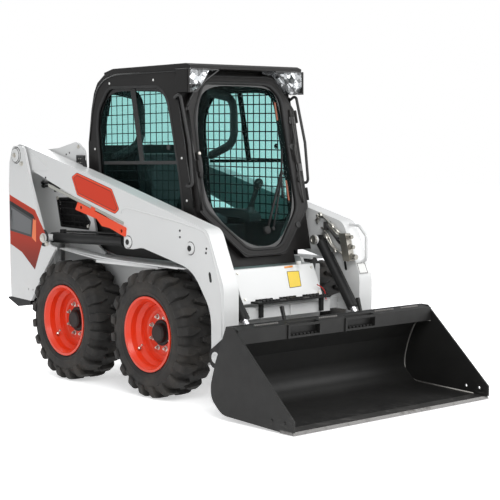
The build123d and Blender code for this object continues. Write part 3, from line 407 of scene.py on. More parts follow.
@dataclass(frozen=True)
class Badge(Coating):
    """Self-adhesive vinyl with a band of its colour along the rim, darker towards its lower end."""

    shade: Colour
    band: float = 0.22

    def shader(self, g: Graph) -> Sock:
        """U of the map runs from the rim (0) to the middle (1) of the sticker."""
        inwards = g.add("ShaderNodeSeparateXYZ", inputs={0: g.add("ShaderNodeTexCoord", out="UV")}, out="X")
        inner = inwards.smooth(self.band - 0.02, self.band + 0.02)
        flat = g.mix(inner * (0.75 + g.noise(4.0, 2.0) * 0.25), self.colour, self.shade)
        return g.surface({"Base Color": g.mix(g.axis("Z").smooth(0.66, 0.98), self.times(0.35), flat),
                          "Roughness": 0.42 + g.noise(90.0, 2.0) * 0.06, "Specular IOR Level": 0.25,
                          "Normal": g.bump(g.noise(500.0, 2.0), 0.06, 0.0002)})


@dataclass(frozen=True)
class FloorCard(Coating):
    """Pale floor: pure white to the camera and in reflections, shaded where the machine stands."""

    colour: Colour = (0.93, 0.93, 0.93)
    glow: float = 0.5

    def shader(self, g: Graph) -> Sock:
        """Diffuse card plus a glow that only the camera, mirrors and glass see."""
        card = g.surface({"Base Color": g.mix(g.noise(1.2, 2.0), self.colour, self.times(0.99)), "Roughness": 0.9})
        seen = g.ray("Camera").math("MAXIMUM", g.ray("Glossy")).math("MAXIMUM", g.ray("Transmission"))
        glow = g.add("ShaderNodeEmission", inputs={"Color": (1.0, 1.0, 1.0, 1.0), "Strength": seen * self.glow})
        return g.add("ShaderNodeAddShader", inputs={0: card, 1: glow})


class Finish(Enum):
    """Every finish on the machine."""

    WHITE = Paint("white_paint", (0.70, 0.705, 0.70), dust=0.12)
    ORANGE = Paint("orange_paint", (0.80, 0.042, 0.007), roughness=0.34, coat=0.12, dust=0.1)
    LOCK = Paint("lock_paint", (0.84, 0.062, 0.008), roughness=0.5, coat=0.0, peel=0.05, dust=0.0)
    CAB = PowderCoat("cab_coat", (0.0095, 0.0088, 0.0085), roughness=0.36, depth=0.15, edge_glint=0.2)
    BLACK = PowderCoat("black_coat", (0.010, 0.010, 0.010), roughness=0.4)
    HUB = PowderCoat("hub_coat", (0.02, 0.018, 0.017), roughness=0.4, edge_glint=0.6)
    BUCKET = BucketCoat("bucket_coat", (0.0075, 0.0073, 0.0068), -1.5455, 0.02)
    TYRE = MouldedRubber("tyre_rubber")
    SEAL = MouldedRubber("seal_rubber", (0.015, 0.015, 0.015), (0.05, 0.05, 0.05), 0.2)
    ROD = Steel("polished_chrome", (0.78, 0.78, 0.80), roughness=0.1, stained=0.05)
    ZINC = Steel("zinc_plate", (0.62, 0.60, 0.55), roughness=0.3)
    EDGE = Steel("worn_edge", (0.20, 0.195, 0.19), roughness=0.38, stained=0.7)
    BRASS = Steel("dull_fittings", (0.36, 0.345, 0.31), roughness=0.38)
    GLASS = Pane("glass_pane", (0.765, 0.922, 0.912))
    LENS = ClearLens("clear_lens")
    REFLECTOR = Steel("lamp_reflector", (0.85, 0.85, 0.86), roughness=0.12, stained=0.0)
    RED_LENS = Plastic("red_lens", (0.45, 0.01, 0.01), roughness=0.15)
    VINYL = Vinyl("seat_grain")
    TRIM = Plastic("trim_plastic", (0.020, 0.020, 0.020))
    AMBER = Plastic("amber_plastic", (0.85, 0.30, 0.02), roughness=0.25)
    YELLOW = Plastic("yellow_label", (0.85, 0.60, 0.03), roughness=0.35)
    PALE = Plastic("pale_label", (0.72, 0.72, 0.70), roughness=0.35)
    HOSE = HoseCover("hose_cover")
    BADGE = Badge("arm_badge", (0.62, 0.036, 0.008), (0.72, 0.052, 0.010), 0.35)
    CHEVRON = Badge("chevron_badge", (0.50, 0.036, 0.010), (0.42, 0.028, 0.008), 0.5)
    CRIMSON = Plastic("crimson_line", (0.10, 0.008, 0.004), roughness=0.5)
    FIELD = Badge("grey_field", (0.06, 0.062, 0.064), (0.16, 0.165, 0.17), 0.5)
    # painted highlight: a bright orange patch that stands for light on a bevel of the chevron sticker
    BEVEL = Plastic("bright_bevel", (0.90, 0.20, 0.06), roughness=0.3)
    RUST = Plastic("rust_marker", (0.22, 0.055, 0.018), roughness=0.5)
    # near black: the own colour of black parts such as the wiper and label edges, and painted shade where it fills
    # holes, slots, rings round pin bosses and the space behind the grilles
    DARK = Plastic("near_black_and_painted_shade", (0.004, 0.004, 0.004), roughness=0.6)
    BORDER = Plastic("black_border", (0.006, 0.006, 0.006), roughness=0.2)
    # painted reflection: grey-olive colour on the white arm's lower flange, for the light it reflects
    OLIVE = Paint("flange_painted_reflection", (0.36, 0.36, 0.32), dust=0.0)
    # steel lighter than the bucket's paint: bare weld colour that also paints the bright highlight along the beads'
    # crests
    WELD = Steel("weld_bead", (0.34, 0.33, 0.31), roughness=0.42)
    WORN = Steel("worn_tread", (0.30, 0.29, 0.28), roughness=0.4)
    FLOOR = FloorCard("floor_card")

    @property
    def material(self) -> bpy.types.Material:
        """The finish's material, built once."""
        found = bpy.data.materials.get(self.value.name)
        return found if found is not None else self.value.make()

    @property
    def slot(self) -> str:
        """The record's material slot of its pieces, unless they name another."""
        return next(slot for slot, names in SLOTS.items() if self.name in names.split())


SLOTS = {
    "body_paint": "WHITE OLIVE", "black_paint": "BLACK DARK FIELD", "cab_trim": "BORDER TRIM SEAL PALE",
    "coupler_steel": "ZINC REFLECTOR", "hose_rubber": "HOSE", "bucket_paint": "BUCKET WELD", "cab_paint": "CAB",
    "signal_paint": "LOCK BADGE CHEVRON CRIMSON BEVEL RUST AMBER YELLOW RED_LENS", "hub_steel": "HUB",
    "tyre": "TYRE", "worn_steel": "WORN", "tinted_glass": "GLASS", "seat_vinyl": "VINYL",
}


# ---- Surfaces -------------------------------------------------------------------------------
class Machine:
    """Places on the machine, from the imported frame."""

    low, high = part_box("front_left_tyre")
    axle_y = (low[1] + high[1]) / 2
    axle_z = (low[2] + high[2]) / 2
    wheel_x = (low[0] + high[0]) / 2
    tyre_half = (high[0] - low[0]) / 2
    tyre_radius = (high[2] - low[2]) / 2
    rear_y = (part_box("rear_left_tyre")[0][1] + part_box("rear_left_tyre")[1][1]) / 2

    @classmethod
    def at(cls, points: Rows) -> np.ndarray:
        """Metres in the machine's frame from (x, d, z) rows in millimetres."""
        rows = np.asarray(points, float) * MM
        return rows + np.array([0.0, cls.axle_y, 0.0])


def grid_faces(rows: int, columns: int, close_rows: bool = False, close_columns: bool = False) -> np.ndarray:
    """Quads of a rows x columns grid of points: (i, j), (i, j+1), (i+1, j+1), (i+1, j)."""
    i = np.arange(rows if close_rows else rows - 1)[:, None]
    j = np.arange(columns if close_columns else columns - 1)[None, :]
    i2, j2 = (i + 1) % rows, (j + 1) % columns
    quads = np.stack([i * columns + j, i * columns + j2, i2 * columns + j2, i2 * columns + j], -1)
    return quads.reshape(-1, 4)


def capped(rows: int, columns: int) -> list[list[int]]:
    """Faces of a closed-round grid with a cap on its first and last row."""
    quads = grid_faces(rows, columns, close_columns=True).tolist()
    return [*quads, list(range((rows - 1) * columns, rows * columns)), list(range(columns - 1, -1, -1))]


def unit(v: np.ndarray) -> np.ndarray:
    """Vectors along the last axis, scaled to length 1."""
    return v / np.maximum(np.linalg.norm(v, axis=-1, keepdims=True), 1e-12)


def rounded(points: Rows, radius: float, closed: bool = True, steps: int = 6) -> np.ndarray:
    """Polyline with its corners rounded.

    Each corner p becomes (1-t)^2 a + 2t(1-t) p + t^2 b, t in 0..1, with a and b on its two runs at
    min(radius, 0.45 run) from p.

    Args:
        points: corners, of any dimension.
        radius: how far from each corner the rounding starts.
        closed: whether the last corner joins the first.
        steps: points on each rounding.

    Returns:
        The rounded line's points.
    """
    p = np.asarray(points, float)
    before, after = np.roll(p, 1, 0) - p, np.roll(p, -1, 0) - p
    lb, la = np.linalg.norm(before, axis=1), np.linalg.norm(after, axis=1)
    a = p + before / lb[:, None] * np.minimum(radius, 0.45 * lb)[:, None]
    b = p + after / la[:, None] * np.minimum(radius, 0.45 * la)[:, None]
    t = np.linspace(0, 1, steps)[None, :, None]
    arcs = (1 - t) ** 2 * a[:, None] + 2 * t * (1 - t) * p[:, None] + t ** 2 * b[:, None]
    if closed:
        return arcs.reshape(-1, p.shape[1])
    return np.concatenate([p[:1], arcs[1:-1].reshape(-1, p.shape[1]), p[-1:]])


def inset(outline: np.ndarray, by: float) -> np.ndarray:
    """Closed counter-clockwise outline moved inwards by a distance, along its points' mean normals."""
    edge = unit(np.roll(outline, -1, 0) - outline)
    normal = np.stack([-edge[:, 1], edge[:, 0]], 1)
    both = unit(normal + np.roll(normal, 1, 0))
    scale = 1.0 / np.maximum((both * normal).sum(1, keepdims=True), 0.4)
    return outline + both * scale * by


@dataclass(frozen=True)
class Seat2D:
    """A flat seat for plates: origin, and the directions of its u, v and outward axes."""

    origin: np.ndarray
    u: np.ndarray
    v: np.ndarray

    @property
    def out(self) -> np.ndarray:
        """Outward normal, u x v."""
        return np.cross(self.u, self.v)

    def place(self, uv: np.ndarray, height: Union[float, np.ndarray] = 0.0) -> np.ndarray:
        """Points of (u, v) in metres at a height over the seat."""
        h = np.asarray(height, float)
        return self.origin + uv[..., :1] * self.u + uv[..., 1:2] * self.v + h[..., None] * self.out


def tube(path: np.ndarray, radius: float, sides: int = 10) -> Shape:
    """Round tube: P(s, a) = path(s) + r (cos a N(s) + sin a B(s)), with N = ref x T and B = T x N.

    ref is the axis that the path follows least.
    """
    tangent = unit(np.gradient(path, axis=0))
    side = unit(np.cross(np.eye(3)[np.argmin(np.abs(tangent).max(0))], tangent))
    other = np.cross(tangent, side)
    a = np.linspace(0, 2 * np.pi, sides, endpoint=False)
    ring = np.cos(a)[None, :, None] * side[:, None] + np.sin(a)[None, :, None] * other[:, None]
    return (path[:, None] + radius * ring).reshape(-1, 3), capped(len(path), sides)


def joined(parts: Sequence[tuple[np.ndarray, Sequence[Sequence[int]]]]) -> Shape:
    """Several meshes as one: vertices stacked, face numbers shifted."""
    starts = np.cumsum([0] + [len(p[0]) for p in parts[:-1]])
    faces = [[int(k + s) for k in f] for (_, fs), s in zip(parts, starts) for f in fs]
    return np.concatenate([p[0] for p in parts]), faces


def lathe(profile: Rows, centre: np.ndarray, axis: np.ndarray, steps: int = 48,
          flats: int = 0) -> Shape:
    """Turned form: P(s, a) = centre + h(s) axis + r(s, a) (cos a U + sin a V).

    With flats, r(s, a) = r(s) cos(w/2) / cos((a mod w) - w/2) for w = 2 pi / flats on rows whose
    third number is 1, which makes them hexagons or other regular flats.

    Args:
        profile: (height, radius[, flat]) rows, outside on the left going up.
        centre: the base point.
        axis: unit axis.
        steps: points round it.
        flats: number of flats.

    Returns:
        Vertices and faces, capped at both ends.
    """
    rows = np.array([(*row, 0.0)[:3] for row in profile], float)
    u = unit(np.cross(axis, [0.31, 0.17, 0.93]))
    v = np.cross(axis, u)
    a = np.linspace(0, 2 * np.pi, steps, endpoint=False)
    r = rows[:, 1:2] * np.ones(steps)
    if flats:
        w = 2 * np.pi / flats
        shape = np.cos(w / 2) / np.cos(np.mod(a, w) - w / 2)
        r = r * np.where(rows[:, 2:3] > 0, shape, 1.0)
    ring = np.cos(a)[:, None] * u + np.sin(a)[:, None] * v
    verts = centre + rows[:, 0][:, None, None] * axis + r[..., None] * ring
    return verts.reshape(-1, 3), capped(len(rows), steps)


HEX = [(0.0, 1.0), (0.16, 1.0), (0.17, 0.80, 1.0), (0.62, 0.80, 1.0), (0.70, 0.66)]
DOME = [(0.0, 1.0), (0.22, 0.97), (0.42, 0.80), (0.55, 0.50), (0.60, 0.12)]
CAP = [(0.0, 1.0), (0.30, 1.0), (0.36, 0.92), (0.36, 0.55), (0.28, 0.50), (0.28, 0.05)]
NUT = [(0.0, 1.0), (0.12, 1.0), (0.2, 0.72), (0.24, 0.66, 1.0), (0.86, 0.62, 1.0), (0.92, 0.52), (0.92, 0.40),
       (1.25, 0.38), (1.28, 0.30)]
UNION = [(-0.9, 0.7), (-0.9, 1.0, 1.0), (0.3, 1.0, 1.0), (0.3, 0.8), (1.1, 0.75)]


def sweep(path: np.ndarray, out: np.ndarray, profile: Rows,
          closed: bool = True) -> Shape:
    """Section along a flat line: P(s, k) = path(s) + a_k B(s) + b_k N, with N = out and B = T x N.

    Args:
        path: (n, 3) line.
        out: the unit normal N of its plane.
        profile: (a, b) points of the closed section, millimetres.
        closed: whether the line closes.

    Returns:
        Vertices and faces.
    """
    tangent = unit(np.roll(path, -1, 0) - np.roll(path, 1, 0)) if closed else unit(np.gradient(path, axis=0))
    across = unit(np.cross(tangent, out))
    k = np.asarray(profile, float) * MM
    verts = path[:, None] + k[None, :, :1] * across[:, None] + k[None, :, 1:2] * np.asarray(out, float)
    n, m = len(path), len(k)
    faces = grid_faces(n, m, close_rows=True, close_columns=True).tolist() if closed else capped(n, m)
    return verts.reshape(-1, 3), faces


def rods(ends: np.ndarray, radius: float, sides: int = 6) -> Shape:
    """Straight round bars: P(k, e, a) = ends(k, e) + r (cos a U_k + sin a V_k).

    Args:
        ends: (n, 2, 3) ends in metres.
        radius: their radius.
        sides: points round each.

    Returns:
        Vertices and faces of all of them.
    """
    way = unit(ends[:, 1] - ends[:, 0])
    u = unit(np.cross(way, [0.31, 0.17, 0.93]))
    v = np.cross(way, u)
    a = np.linspace(0, 2 * np.pi, sides, endpoint=False)
    ring = np.cos(a)[None, :, None] * u[:, None] + np.sin(a)[None, :, None] * v[:, None]
    verts = ends[:, :, None] + radius * ring[:, None]
    return joined([(bar.reshape(-1, 3), capped(2, sides)) for bar in verts])


def chords(outline: np.ndarray, way: Sequence[float], pitch: float) -> np.ndarray:
    """Evenly spaced lines across a closed outline.

    A rim run from p to q meets the line at height c where (c - p.n) / (q.n - p.n) is in 0..1; each
    line keeps its first and last crossing.

    Args:
        outline: (n, 2) rim.
        way: the lines' direction.
        pitch: the space between lines.

    Returns:
        (m, 2, 2) ends.
    """
    along = unit(np.asarray(way, float))
    normal = np.array([-along[1], along[0]])
    height, place = outline @ normal, outline @ along
    next_height, next_place = np.roll(height, -1), np.roll(place, -1)
    levels = np.arange(math.ceil(height.min() / pitch), math.floor(height.max() / pitch) + 1) * pitch
    run = np.where(next_height == height, 1e-9, next_height - height)
    share = (levels[:, None] - height) / run
    hit = (share >= 0) & (share < 1)
    spot = place + share * (next_place - place)
    low = np.where(hit, spot, np.inf).min(1)
    high = np.where(hit, spot, -np.inf).max(1)
    good = high - low > 0.3 * pitch
    ends = np.stack([low, high], 1)[good]
    return ends[..., None] * along + levels[good][:, None, None] * normal


def bead(half: float, height: float, sunk: float = 1.0) -> list[tuple[float, float]]:
    """Half-round section of a seal or weld: half its width, its height and how deep its foot goes, mm."""
    return [(-half, -sunk), (-half, 0.3 * height), (-0.5 * half, 0.88 * height), (0.0, height),
            (0.5 * half, 0.88 * height), (half, 0.3 * height), (half, -sunk)]


def points(mesh: bpy.types.Mesh, what: str = "co") -> np.ndarray:
    """Places, or normals, of a mesh's points, (n, 3)."""
    rows = np.empty(len(mesh.vertices) * 3, np.float32)
    mesh.vertices.foreach_get(what, rows)
    return rows.reshape(-1, 3)


def applied(piece: bpy.types.Object, kind: str, **settings: Any) -> None:
    """Give a piece the shape that one modifier, with those settings, makes of its mesh."""
    modifier = piece.modifiers.new(kind.lower(), kind)
    for key, value in settings.items():
        setattr(modifier, key, value)
    shape = bpy.data.meshes.new_from_object(piece.evaluated_get(bpy.context.evaluated_depsgraph_get()))
    piece.modifiers.remove(modifier)
    piece.data = shape


def ccw(outline: np.ndarray) -> np.ndarray:
    """Closed outline, reversed where its area, half the sum of x y' - x' y, is negative."""
    x, y = outline.T
    return outline if (x * np.roll(y, -1) - np.roll(x, -1) * y).sum() > 0 else outline[::-1]


def front_seat(d: float, z: float, back: float, up: float) -> Seat2D:
    """Seat facing forward at (d, z), mm: u to the machine's left, v along (back, up)."""
    return Seat2D(Machine.at([(0, d, z)])[0], np.array([1.0, 0, 0]), unit(np.array([0.0, back, up])))


@dataclass(frozen=True)
class Kit:
    """Maker of one sub-assembly's pieces, in millimetres, as (x, d, z) or as (d, z) on a side.

    side is 1 for the machine's left, -1 for its right and 0 for neither; body is the CAD body that
    its pieces ride on.
    """

    side: int = 0
    body: str = "chassis"

    @property
    def label(self) -> str:
        """Prefix of its pieces' names."""
        return ("", "left_", "right_")[self.side]

    def put(self, name: str, verts: np.ndarray, faces: Sequence[Sequence[int]], finish: Finish,
            slot: Optional[str] = None, smooth: Union[bool, np.ndarray] = True, uv: Optional[np.ndarray] = None,
            shells: bool = True) -> bpy.types.Object:
        """Make a piece.

        Args:
            name: the piece's name, less the prefix.
            verts: (n, 3) points in metres.
            faces: vertex numbers of each face.
            finish: its finish.
            slot: not used.
            smooth: shade smooth, for all or for each face.
            uv: (n, 2) map, a row for each vertex.
            shells: it is made of closed shells, whose faces are turned outward.

        Returns:
            The new object.
        """
        mesh = bpy.data.meshes.new(self.label + name)
        mesh.from_pydata(verts, [], [list(f) for f in faces])
        mesh.polygons.foreach_set("use_smooth", np.broadcast_to(smooth, len(mesh.polygons)).astype(bool))
        if uv is not None:
            layer = mesh.uv_layers.new(name="UVMap")
            corners = np.empty(len(mesh.loops), int)
            mesh.loops.foreach_get("vertex_index", corners)
            layer.data.foreach_set("uv", uv[corners].astype(np.float32).ravel())
        mesh.materials.append(finish.material)
        if shells:
            work = bmesh.new()
            work.from_mesh(mesh)
            bmesh.ops.recalc_face_normals(work, faces=work.faces)
            work.to_mesh(mesh)
            work.free()
        mesh.update()
        piece = bpy.data.objects.new(self.label + name, mesh)
        bpy.context.scene.collection.objects.link(piece)
        return self.settle(piece, finish, slot)

    def settle(self, piece: bpy.types.Object, finish: Finish, slot: Optional[str] = None) -> bpy.types.Object:
        if self.body:
            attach(piece, self.body)
        log.info("%s: %d faces", piece.name, len(piece.data.polygons))
        return piece

    @staticmethod
    def copy(node: str, name: str, finish: Finish) -> bpy.types.Object:
        """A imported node's form as a new object, not yet on a body."""
        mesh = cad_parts[node].data.copy()
        mesh.materials.clear()
        mesh.materials.append(finish.material)
        piece = bpy.data.objects.new(name, mesh)
        bpy.context.scene.collection.objects.link(piece)
        return piece

    def wall(self, x: float, facing: int = 0) -> Seat2D:
        """Seat on the machine's side at |x|, whose outward axis points to that side or to facing."""
        return Seat2D(np.array([self.side * x * MM, Machine.axle_y, 0.0]), np.array([0.0, facing or self.side, 0.0]),
                      np.array([0.0, 0.0, 1.0]))

    def flat(self, rows: Rows, facing: int = 0) -> np.ndarray:
        """(d, z) rows as counter-clockwise (u, v) metres on that seat."""
        return ccw(np.asarray(rows, float) * MM * np.array([float(facing or self.side), 1.0]))

    def spots(self, x: float, rows: Rows) -> np.ndarray:
        return np.array([(self.side * x, d, z) for d, z in rows])

    def plate(self, name: str, finish: Finish, outline: np.ndarray, seat: Seat2D, levels: Rows,
              slot: Optional[str] = None) -> bpy.types.Object:
        """Plate with stepped or rounded edges.

        Ring k is the outline inset by levels[k][0] at height levels[k][1]; the last and first rings
        are capped. U of the map is the inset over the largest inset.

        Args:
            name: the piece's name.
            finish: its finish.
            outline: (n, 2) points on the seat, metres.
            seat: where it lies.
            levels: (inset, height) of each ring.
            slot: not used.

        Returns:
            The plate.
        """
        outline, n, rows = ccw(outline), len(outline), len(levels)
        rings = np.stack([seat.place(inset(outline, i * MM), h * MM) for i, h in levels])
        most = max(i for i, _ in levels) or 1.0
        uv = np.stack([np.repeat([i / most for i, _ in levels], n), np.tile(np.linspace(0, 1, n), rows)], 1)
        return self.put(name, rings.reshape(-1, 3), capped(rows, n), finish, slot, False, uv)

    def ring(self, name: str, finish: Finish, outer: np.ndarray, inner: np.ndarray, seat: Seat2D, low: float,
             high: float) -> bpy.types.Object:
        """Flat frame between two outlines of as many points, from height low to high on its seat."""
        lines = ((outer, low), (outer, high), (inner, high), (inner, low))
        rings = np.stack([seat.place(line, h * MM) for line, h in lines])
        faces = grid_faces(4, len(outer), close_rows=True, close_columns=True)
        return self.put(name, rings.reshape(-1, 3), faces, finish, smooth=False)

    def heads(self, name: str, finish: Finish, size: float, places: Rows, way: Optional[Rows] = None,
              profile: Rows = HEX, slot: Optional[str] = None) -> bpy.types.Object:
        """One piece of several turned or six-sided heads.

        Args:
            name: the piece's name.
            finish: their finish.
            size: radius of the washer.
            places: (n, 3) seats, as (x, d, z).
            profile: (height, radius, flat) rows in sizes.
            slot: not used.

        Returns:
            The piece.
        """
        scaled = [(h * size * MM, r * size * MM, *six) for h, r, *six in profile]
        spots = Machine.at(places)
        ways = np.asarray((self.side, 0, 0) if way is None else way, float)
        ways = np.broadcast_to(unit(ways), spots.shape)
        verts, faces = joined([lathe(scaled, c, w, 12, 6) for c, w in zip(spots, ways)])
        return self.put(name, verts, faces, finish, slot, smooth=False)

    def pipes(self, name: str, finish: Finish, radius: float, runs: Sequence[Rows], bend: float = 30.0,
              sides: int = 8) -> bpy.types.Object:
        """One piece of several round pipes along (x, d, z) rows, whose corners are rounded from bend on."""
        parts = [tube(Machine.at(rounded(run, bend, closed=False)), radius * MM, sides) for run in runs]
        return self.put(name, *joined(parts), finish)


# ---- Wheels ---------------------------------------------------------------------------------
def wrap_lathe(profile: Rows, centre: np.ndarray, steps: int) -> Shape:
    """Turned closed section about X: P(s, a) = centre + x(s) X + r(s) (cos a Z - sin a Y)."""
    rows = np.asarray(profile, float)
    a = np.linspace(0, 2 * np.pi, steps, endpoint=False)
    ring = np.stack([np.zeros(steps), -np.sin(a), np.cos(a)], 1)
    verts = centre + rows[:, 0][:, None, None] * np.array([1.0, 0, 0]) + rows[:, 1][:, None, None] * ring
    faces = grid_faces(len(rows), steps, close_rows=True, close_columns=True)[:, ::-1]
    return verts.reshape(-1, 3), faces.tolist()


@dataclass(frozen=True)
class Wheel(Kit):
    """Lugged tyre on its painted rim, with nuts, a valve and a hub cap; y is its axle's, in metres."""

    y: float = 0.0
    lugs: int = 20
    nut_circle: float = 101.5
    nuts: int = 8
    disc_out: float = 3.0
    valve_circle: float = 178.0
    valve_x: float = 62.0
    valve_turn: float = 3.75
    valve_lean: float = 23.0
    rim_steps: int = 144

    @property
    def label(self) -> str:
        """The wheel's place, as in its CAD nodes' names."""
        return self.body.removesuffix("wheel")

    @property
    def centre(self) -> np.ndarray:
        """Middle of the tyre, metres."""
        return np.array([self.side * Machine.wheel_x, self.y, Machine.axle_z])

    def carcass(self) -> Shape:
        """Tyre casing: a closed section (x, radius) turned about the axle."""
        r = Machine.tyre_radius / MM
        half = [(0, r - 25), (52, r - 25), (84, r - 27), (104, r - 38), (116, r - 54), (121, r - 66), (122.5, r - 70),
                (121, r - 74), (124, r - 84), (126, r - 100), (126, r - 114), (124, r - 124), (125.5, r - 127),
                (125.5, r - 130), (123.5, r - 132), (120, 244), (114, 236), (108, 232.5), (105.2, 229), (105.2, 214),
                (103, 209.2)]
        inner = [(93, 209.2), (96, 235), (106, 280), (102, 318), (84, 338), (0, 342)]
        outer = [(-x, q) for x, q in half[::-1]] + half[1:]
        lining = inner + [(-x, q) for x, q in inner[-2::-1]]
        return wrap_lathe(np.array(outer + lining) * MM, self.centre, self.rim_steps)

    def tread(self) -> Shape:
        """Lugs: P(u, t) at angle a = turn - v(u, t) / R and radius between base(u) and top(u)."""
        r = Machine.tyre_radius / MM
        edge = (Machine.tyre_half / MM) - 0.2
        u = np.array([3, 5, 10, 30, 56, 72, 90, 104, 116, 124, edge - 1, edge - 1, edge - 6])
        top = np.array([r - 27, r - 5, r, r, r, r, r - 0.5, r - 4, r - 13, r - 30, r - 56, r - 64, r - 72])
        base = np.array([r - 27, r - 27, r - 27, r - 27, r - 27, r - 27, r - 29, r - 40, r - 56, r - 68, r - 72, r - 73,
                         r - 74])
        low = np.interp(u, [4, 18, 52, 74, 134], [-12, -16, -33, -36, -31])
        high = np.interp(u, [4, 30, 60, 78, 134], [9, 8, 19, 23, 21])
        t = [(0.0, -3.0, 0.0), (0.0, 0.0, 0.72), (0.0, 2.2, 0.96), (0.0, 6.0, 1.0), (1.0, -6.0, 1.0), (1.0, -2.2, 0.96),
             (1.0, 0.0, 0.72), (1.0, 3.0, 0.0)]
        share, shift, rise = (np.array(c)[None, :] for c in zip(*t))
        v = low[:, None] * (1 - share) + high[:, None] * share + shift
        radius = base[:, None] * (1 - rise) + top[:, None] * rise
        parts = []
        for side, start in ((1, 0.0), (-1, 0.5)):
            turn = 2 * np.pi * (np.arange(self.lugs) + start) / self.lugs
            a = turn[:, None, None] - v[None] / r
            place = np.stack(np.broadcast_arrays(side * u[None, :, None], -radius[None] * np.sin(a),
                                                 radius[None] * np.cos(a)), -1) * MM + self.centre
            count = len(u) * len(t)
            one = grid_faces(len(u), len(t))
            one = one[:, ::-1] if side > 0 else one
            faces = (one[None] + (np.arange(self.lugs) * count)[:, None, None]).reshape(-1, 4)
            parts.append((place.reshape(-1, 3), faces.tolist()))
        return joined(parts)

    def turned(self, name: str, finish: Finish, profile: Rows, centre: Rows, axis: Rows, steps: int) -> None:
        """Turned piece of (height, radius) rows in mm, from a place in mm off the wheel's middle."""
        rows = [(h * MM, r * MM) for h, r in profile]
        foot = self.centre + np.array(centre) * MM
        self.put(name, *lathe(rows, foot, unit(np.asarray(axis, float)), steps), finish, smooth=False)

    def build(self) -> None:
        """Make the tyre, nuts, valve and hub cap."""
        casing, tread = self.carcass(), self.tread()
        smooth = np.array([True] * len(casing[1]) + [False] * len(tread[1]))
        tyre = self.put("lug_tyre", *joined([casing, tread]), Finish.TYRE, smooth=smooth, shells=False)
        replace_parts(tyre, f"{self.label}tyre")
        a = 2 * np.pi * (np.arange(self.nuts) + 0.5) / self.nuts
        ring = np.stack([np.full(self.nuts, self.side * self.disc_out), self.nut_circle * np.cos(a),
                         self.nut_circle * np.sin(a)], 1)
        self.heads("nuts", Finish.ZINC, 17.0, self.centre / MM - (0.0, Machine.axle_y / MM, 0.0) + ring, profile=NUT)
        valve = (self.side * self.valve_x, -self.valve_circle * math.cos(self.valve_turn),
                 self.valve_circle * math.sin(self.valve_turn))
        self.turned("valve", Finish.ZINC, [(-12, 11), (4, 11), (6, 4.5), (28, 4.5), (29, 5.8), (40, 5.8), (41, 4)],
                    valve, (self.side * self.valve_lean, -valve[1], -valve[2]), 12)
        self.turned("hub_cap", Finish.HUB, [(0, 79), (6, 79), (9, 76), (9, 40), (16, 36), (16, 24), (6, 20), (6, 4)],
                    (self.side * (self.disc_out + 0.2), 0, 0), (self.side, 0, 0), 40)


# ---- Cab ------------------------------------------------------------------------------------
@dataclass(frozen=True)
class CabSide(Kit):
    """Window border, seal, wire screen, bars, screws and lips on one side of the cab."""

    body: str = "cab"
    wire: float = 3.3
    pitch: float = 59.0
    face: float = 450.0
    pane: float = 436.0
    frame_x: float = 421.0
    wires: tuple[tuple[float, tuple[float, float]], ...] = ((423.0, (0.0, 1.0)), (419.0, (1.0, 0.012)))
    window: Rows = ((705, 1878), (821, 1740), (836, 1611), (771, 1000), (-70, 1000), (-30, 1303), (80, 1785),
                    (159, 1870))
    sash: Rows = ((479, 1864), (428, 1866), (337, 1405), (386, 1405))
    rail: Rows = ((772, 1409), (-33, 1418), (-35, 1397), (770, 1388))
    screws: Rows = ((690, 1905), (226, 1911), (860, 1488), (-50, 1435), (-95, 1180))
    pillar: Rows = ((-21.0, 1810), (-162, 1140))
    gutter: Rows = ((-110.0, 1958), (620, 1958), (748, 1930), (830, 1868), (880, 1750), (918, 1540))

    def line(self, corner: float, by: float) -> np.ndarray:
        """Window outline in metres, with rounded corners, moved inwards."""
        return inset(rounded(self.flat(self.window), corner * MM, steps=8), by * MM)

    def screen(self) -> None:
        """Welded wire screen inside the pane: two crossed families of wires in a flat frame."""
        parts = [rods(self.wall(x).place(chords(self.line(60, 6), way, self.pitch * MM)), self.wire * MM)
                 for x, way in self.wires]
        seat = self.wall(self.frame_x)
        parts.append(sweep(seat.place(self.line(60, 8)), seat.out, [(-6, -4), (-6, 4), (6, 4), (6, -4)]))
        self.put("wire_screen", *joined(parts), Finish.BLACK)

    def build(self) -> None:
        """Make all of it: printed border, rubber, screen, the sliding pane's sash, rail and latch, and lips."""
        seat, pane = self.wall(self.face), self.wall(self.pane)
        self.ring("pane_border", Finish.BORDER, self.line(50, 1), self.line(150, 24), pane, 0.2, 1.2)
        self.put("window_seal", *sweep(seat.place(self.line(50, 0)), seat.out, bead(8, 4, 9)), Finish.SEAL)
        self.screen()
        self.plate("sash", Finish.BORDER, self.flat(self.sash), pane, [(0, 0.3), (0, 4), (2, 6)])
        self.plate("sash_rail", Finish.TRIM, self.flat(self.rail), pane, [(0, 0.3), (0, 7), (2, 9)])
        self.heads("sash_latch", Finish.TRIM, 17, self.spots(self.pane + 0.5, [(92, 1500)]), profile=CAP)
        self.heads("wall_screws", Finish.PALE, 8, self.spots(self.face - 0.5, self.screws), profile=DOME)
        lips = [self.spots(self.face + 1, rows) for rows in (self.pillar, self.gutter)]
        self.pipes("cab_lips", Finish.BORDER, 5.5, lips, 60.0)


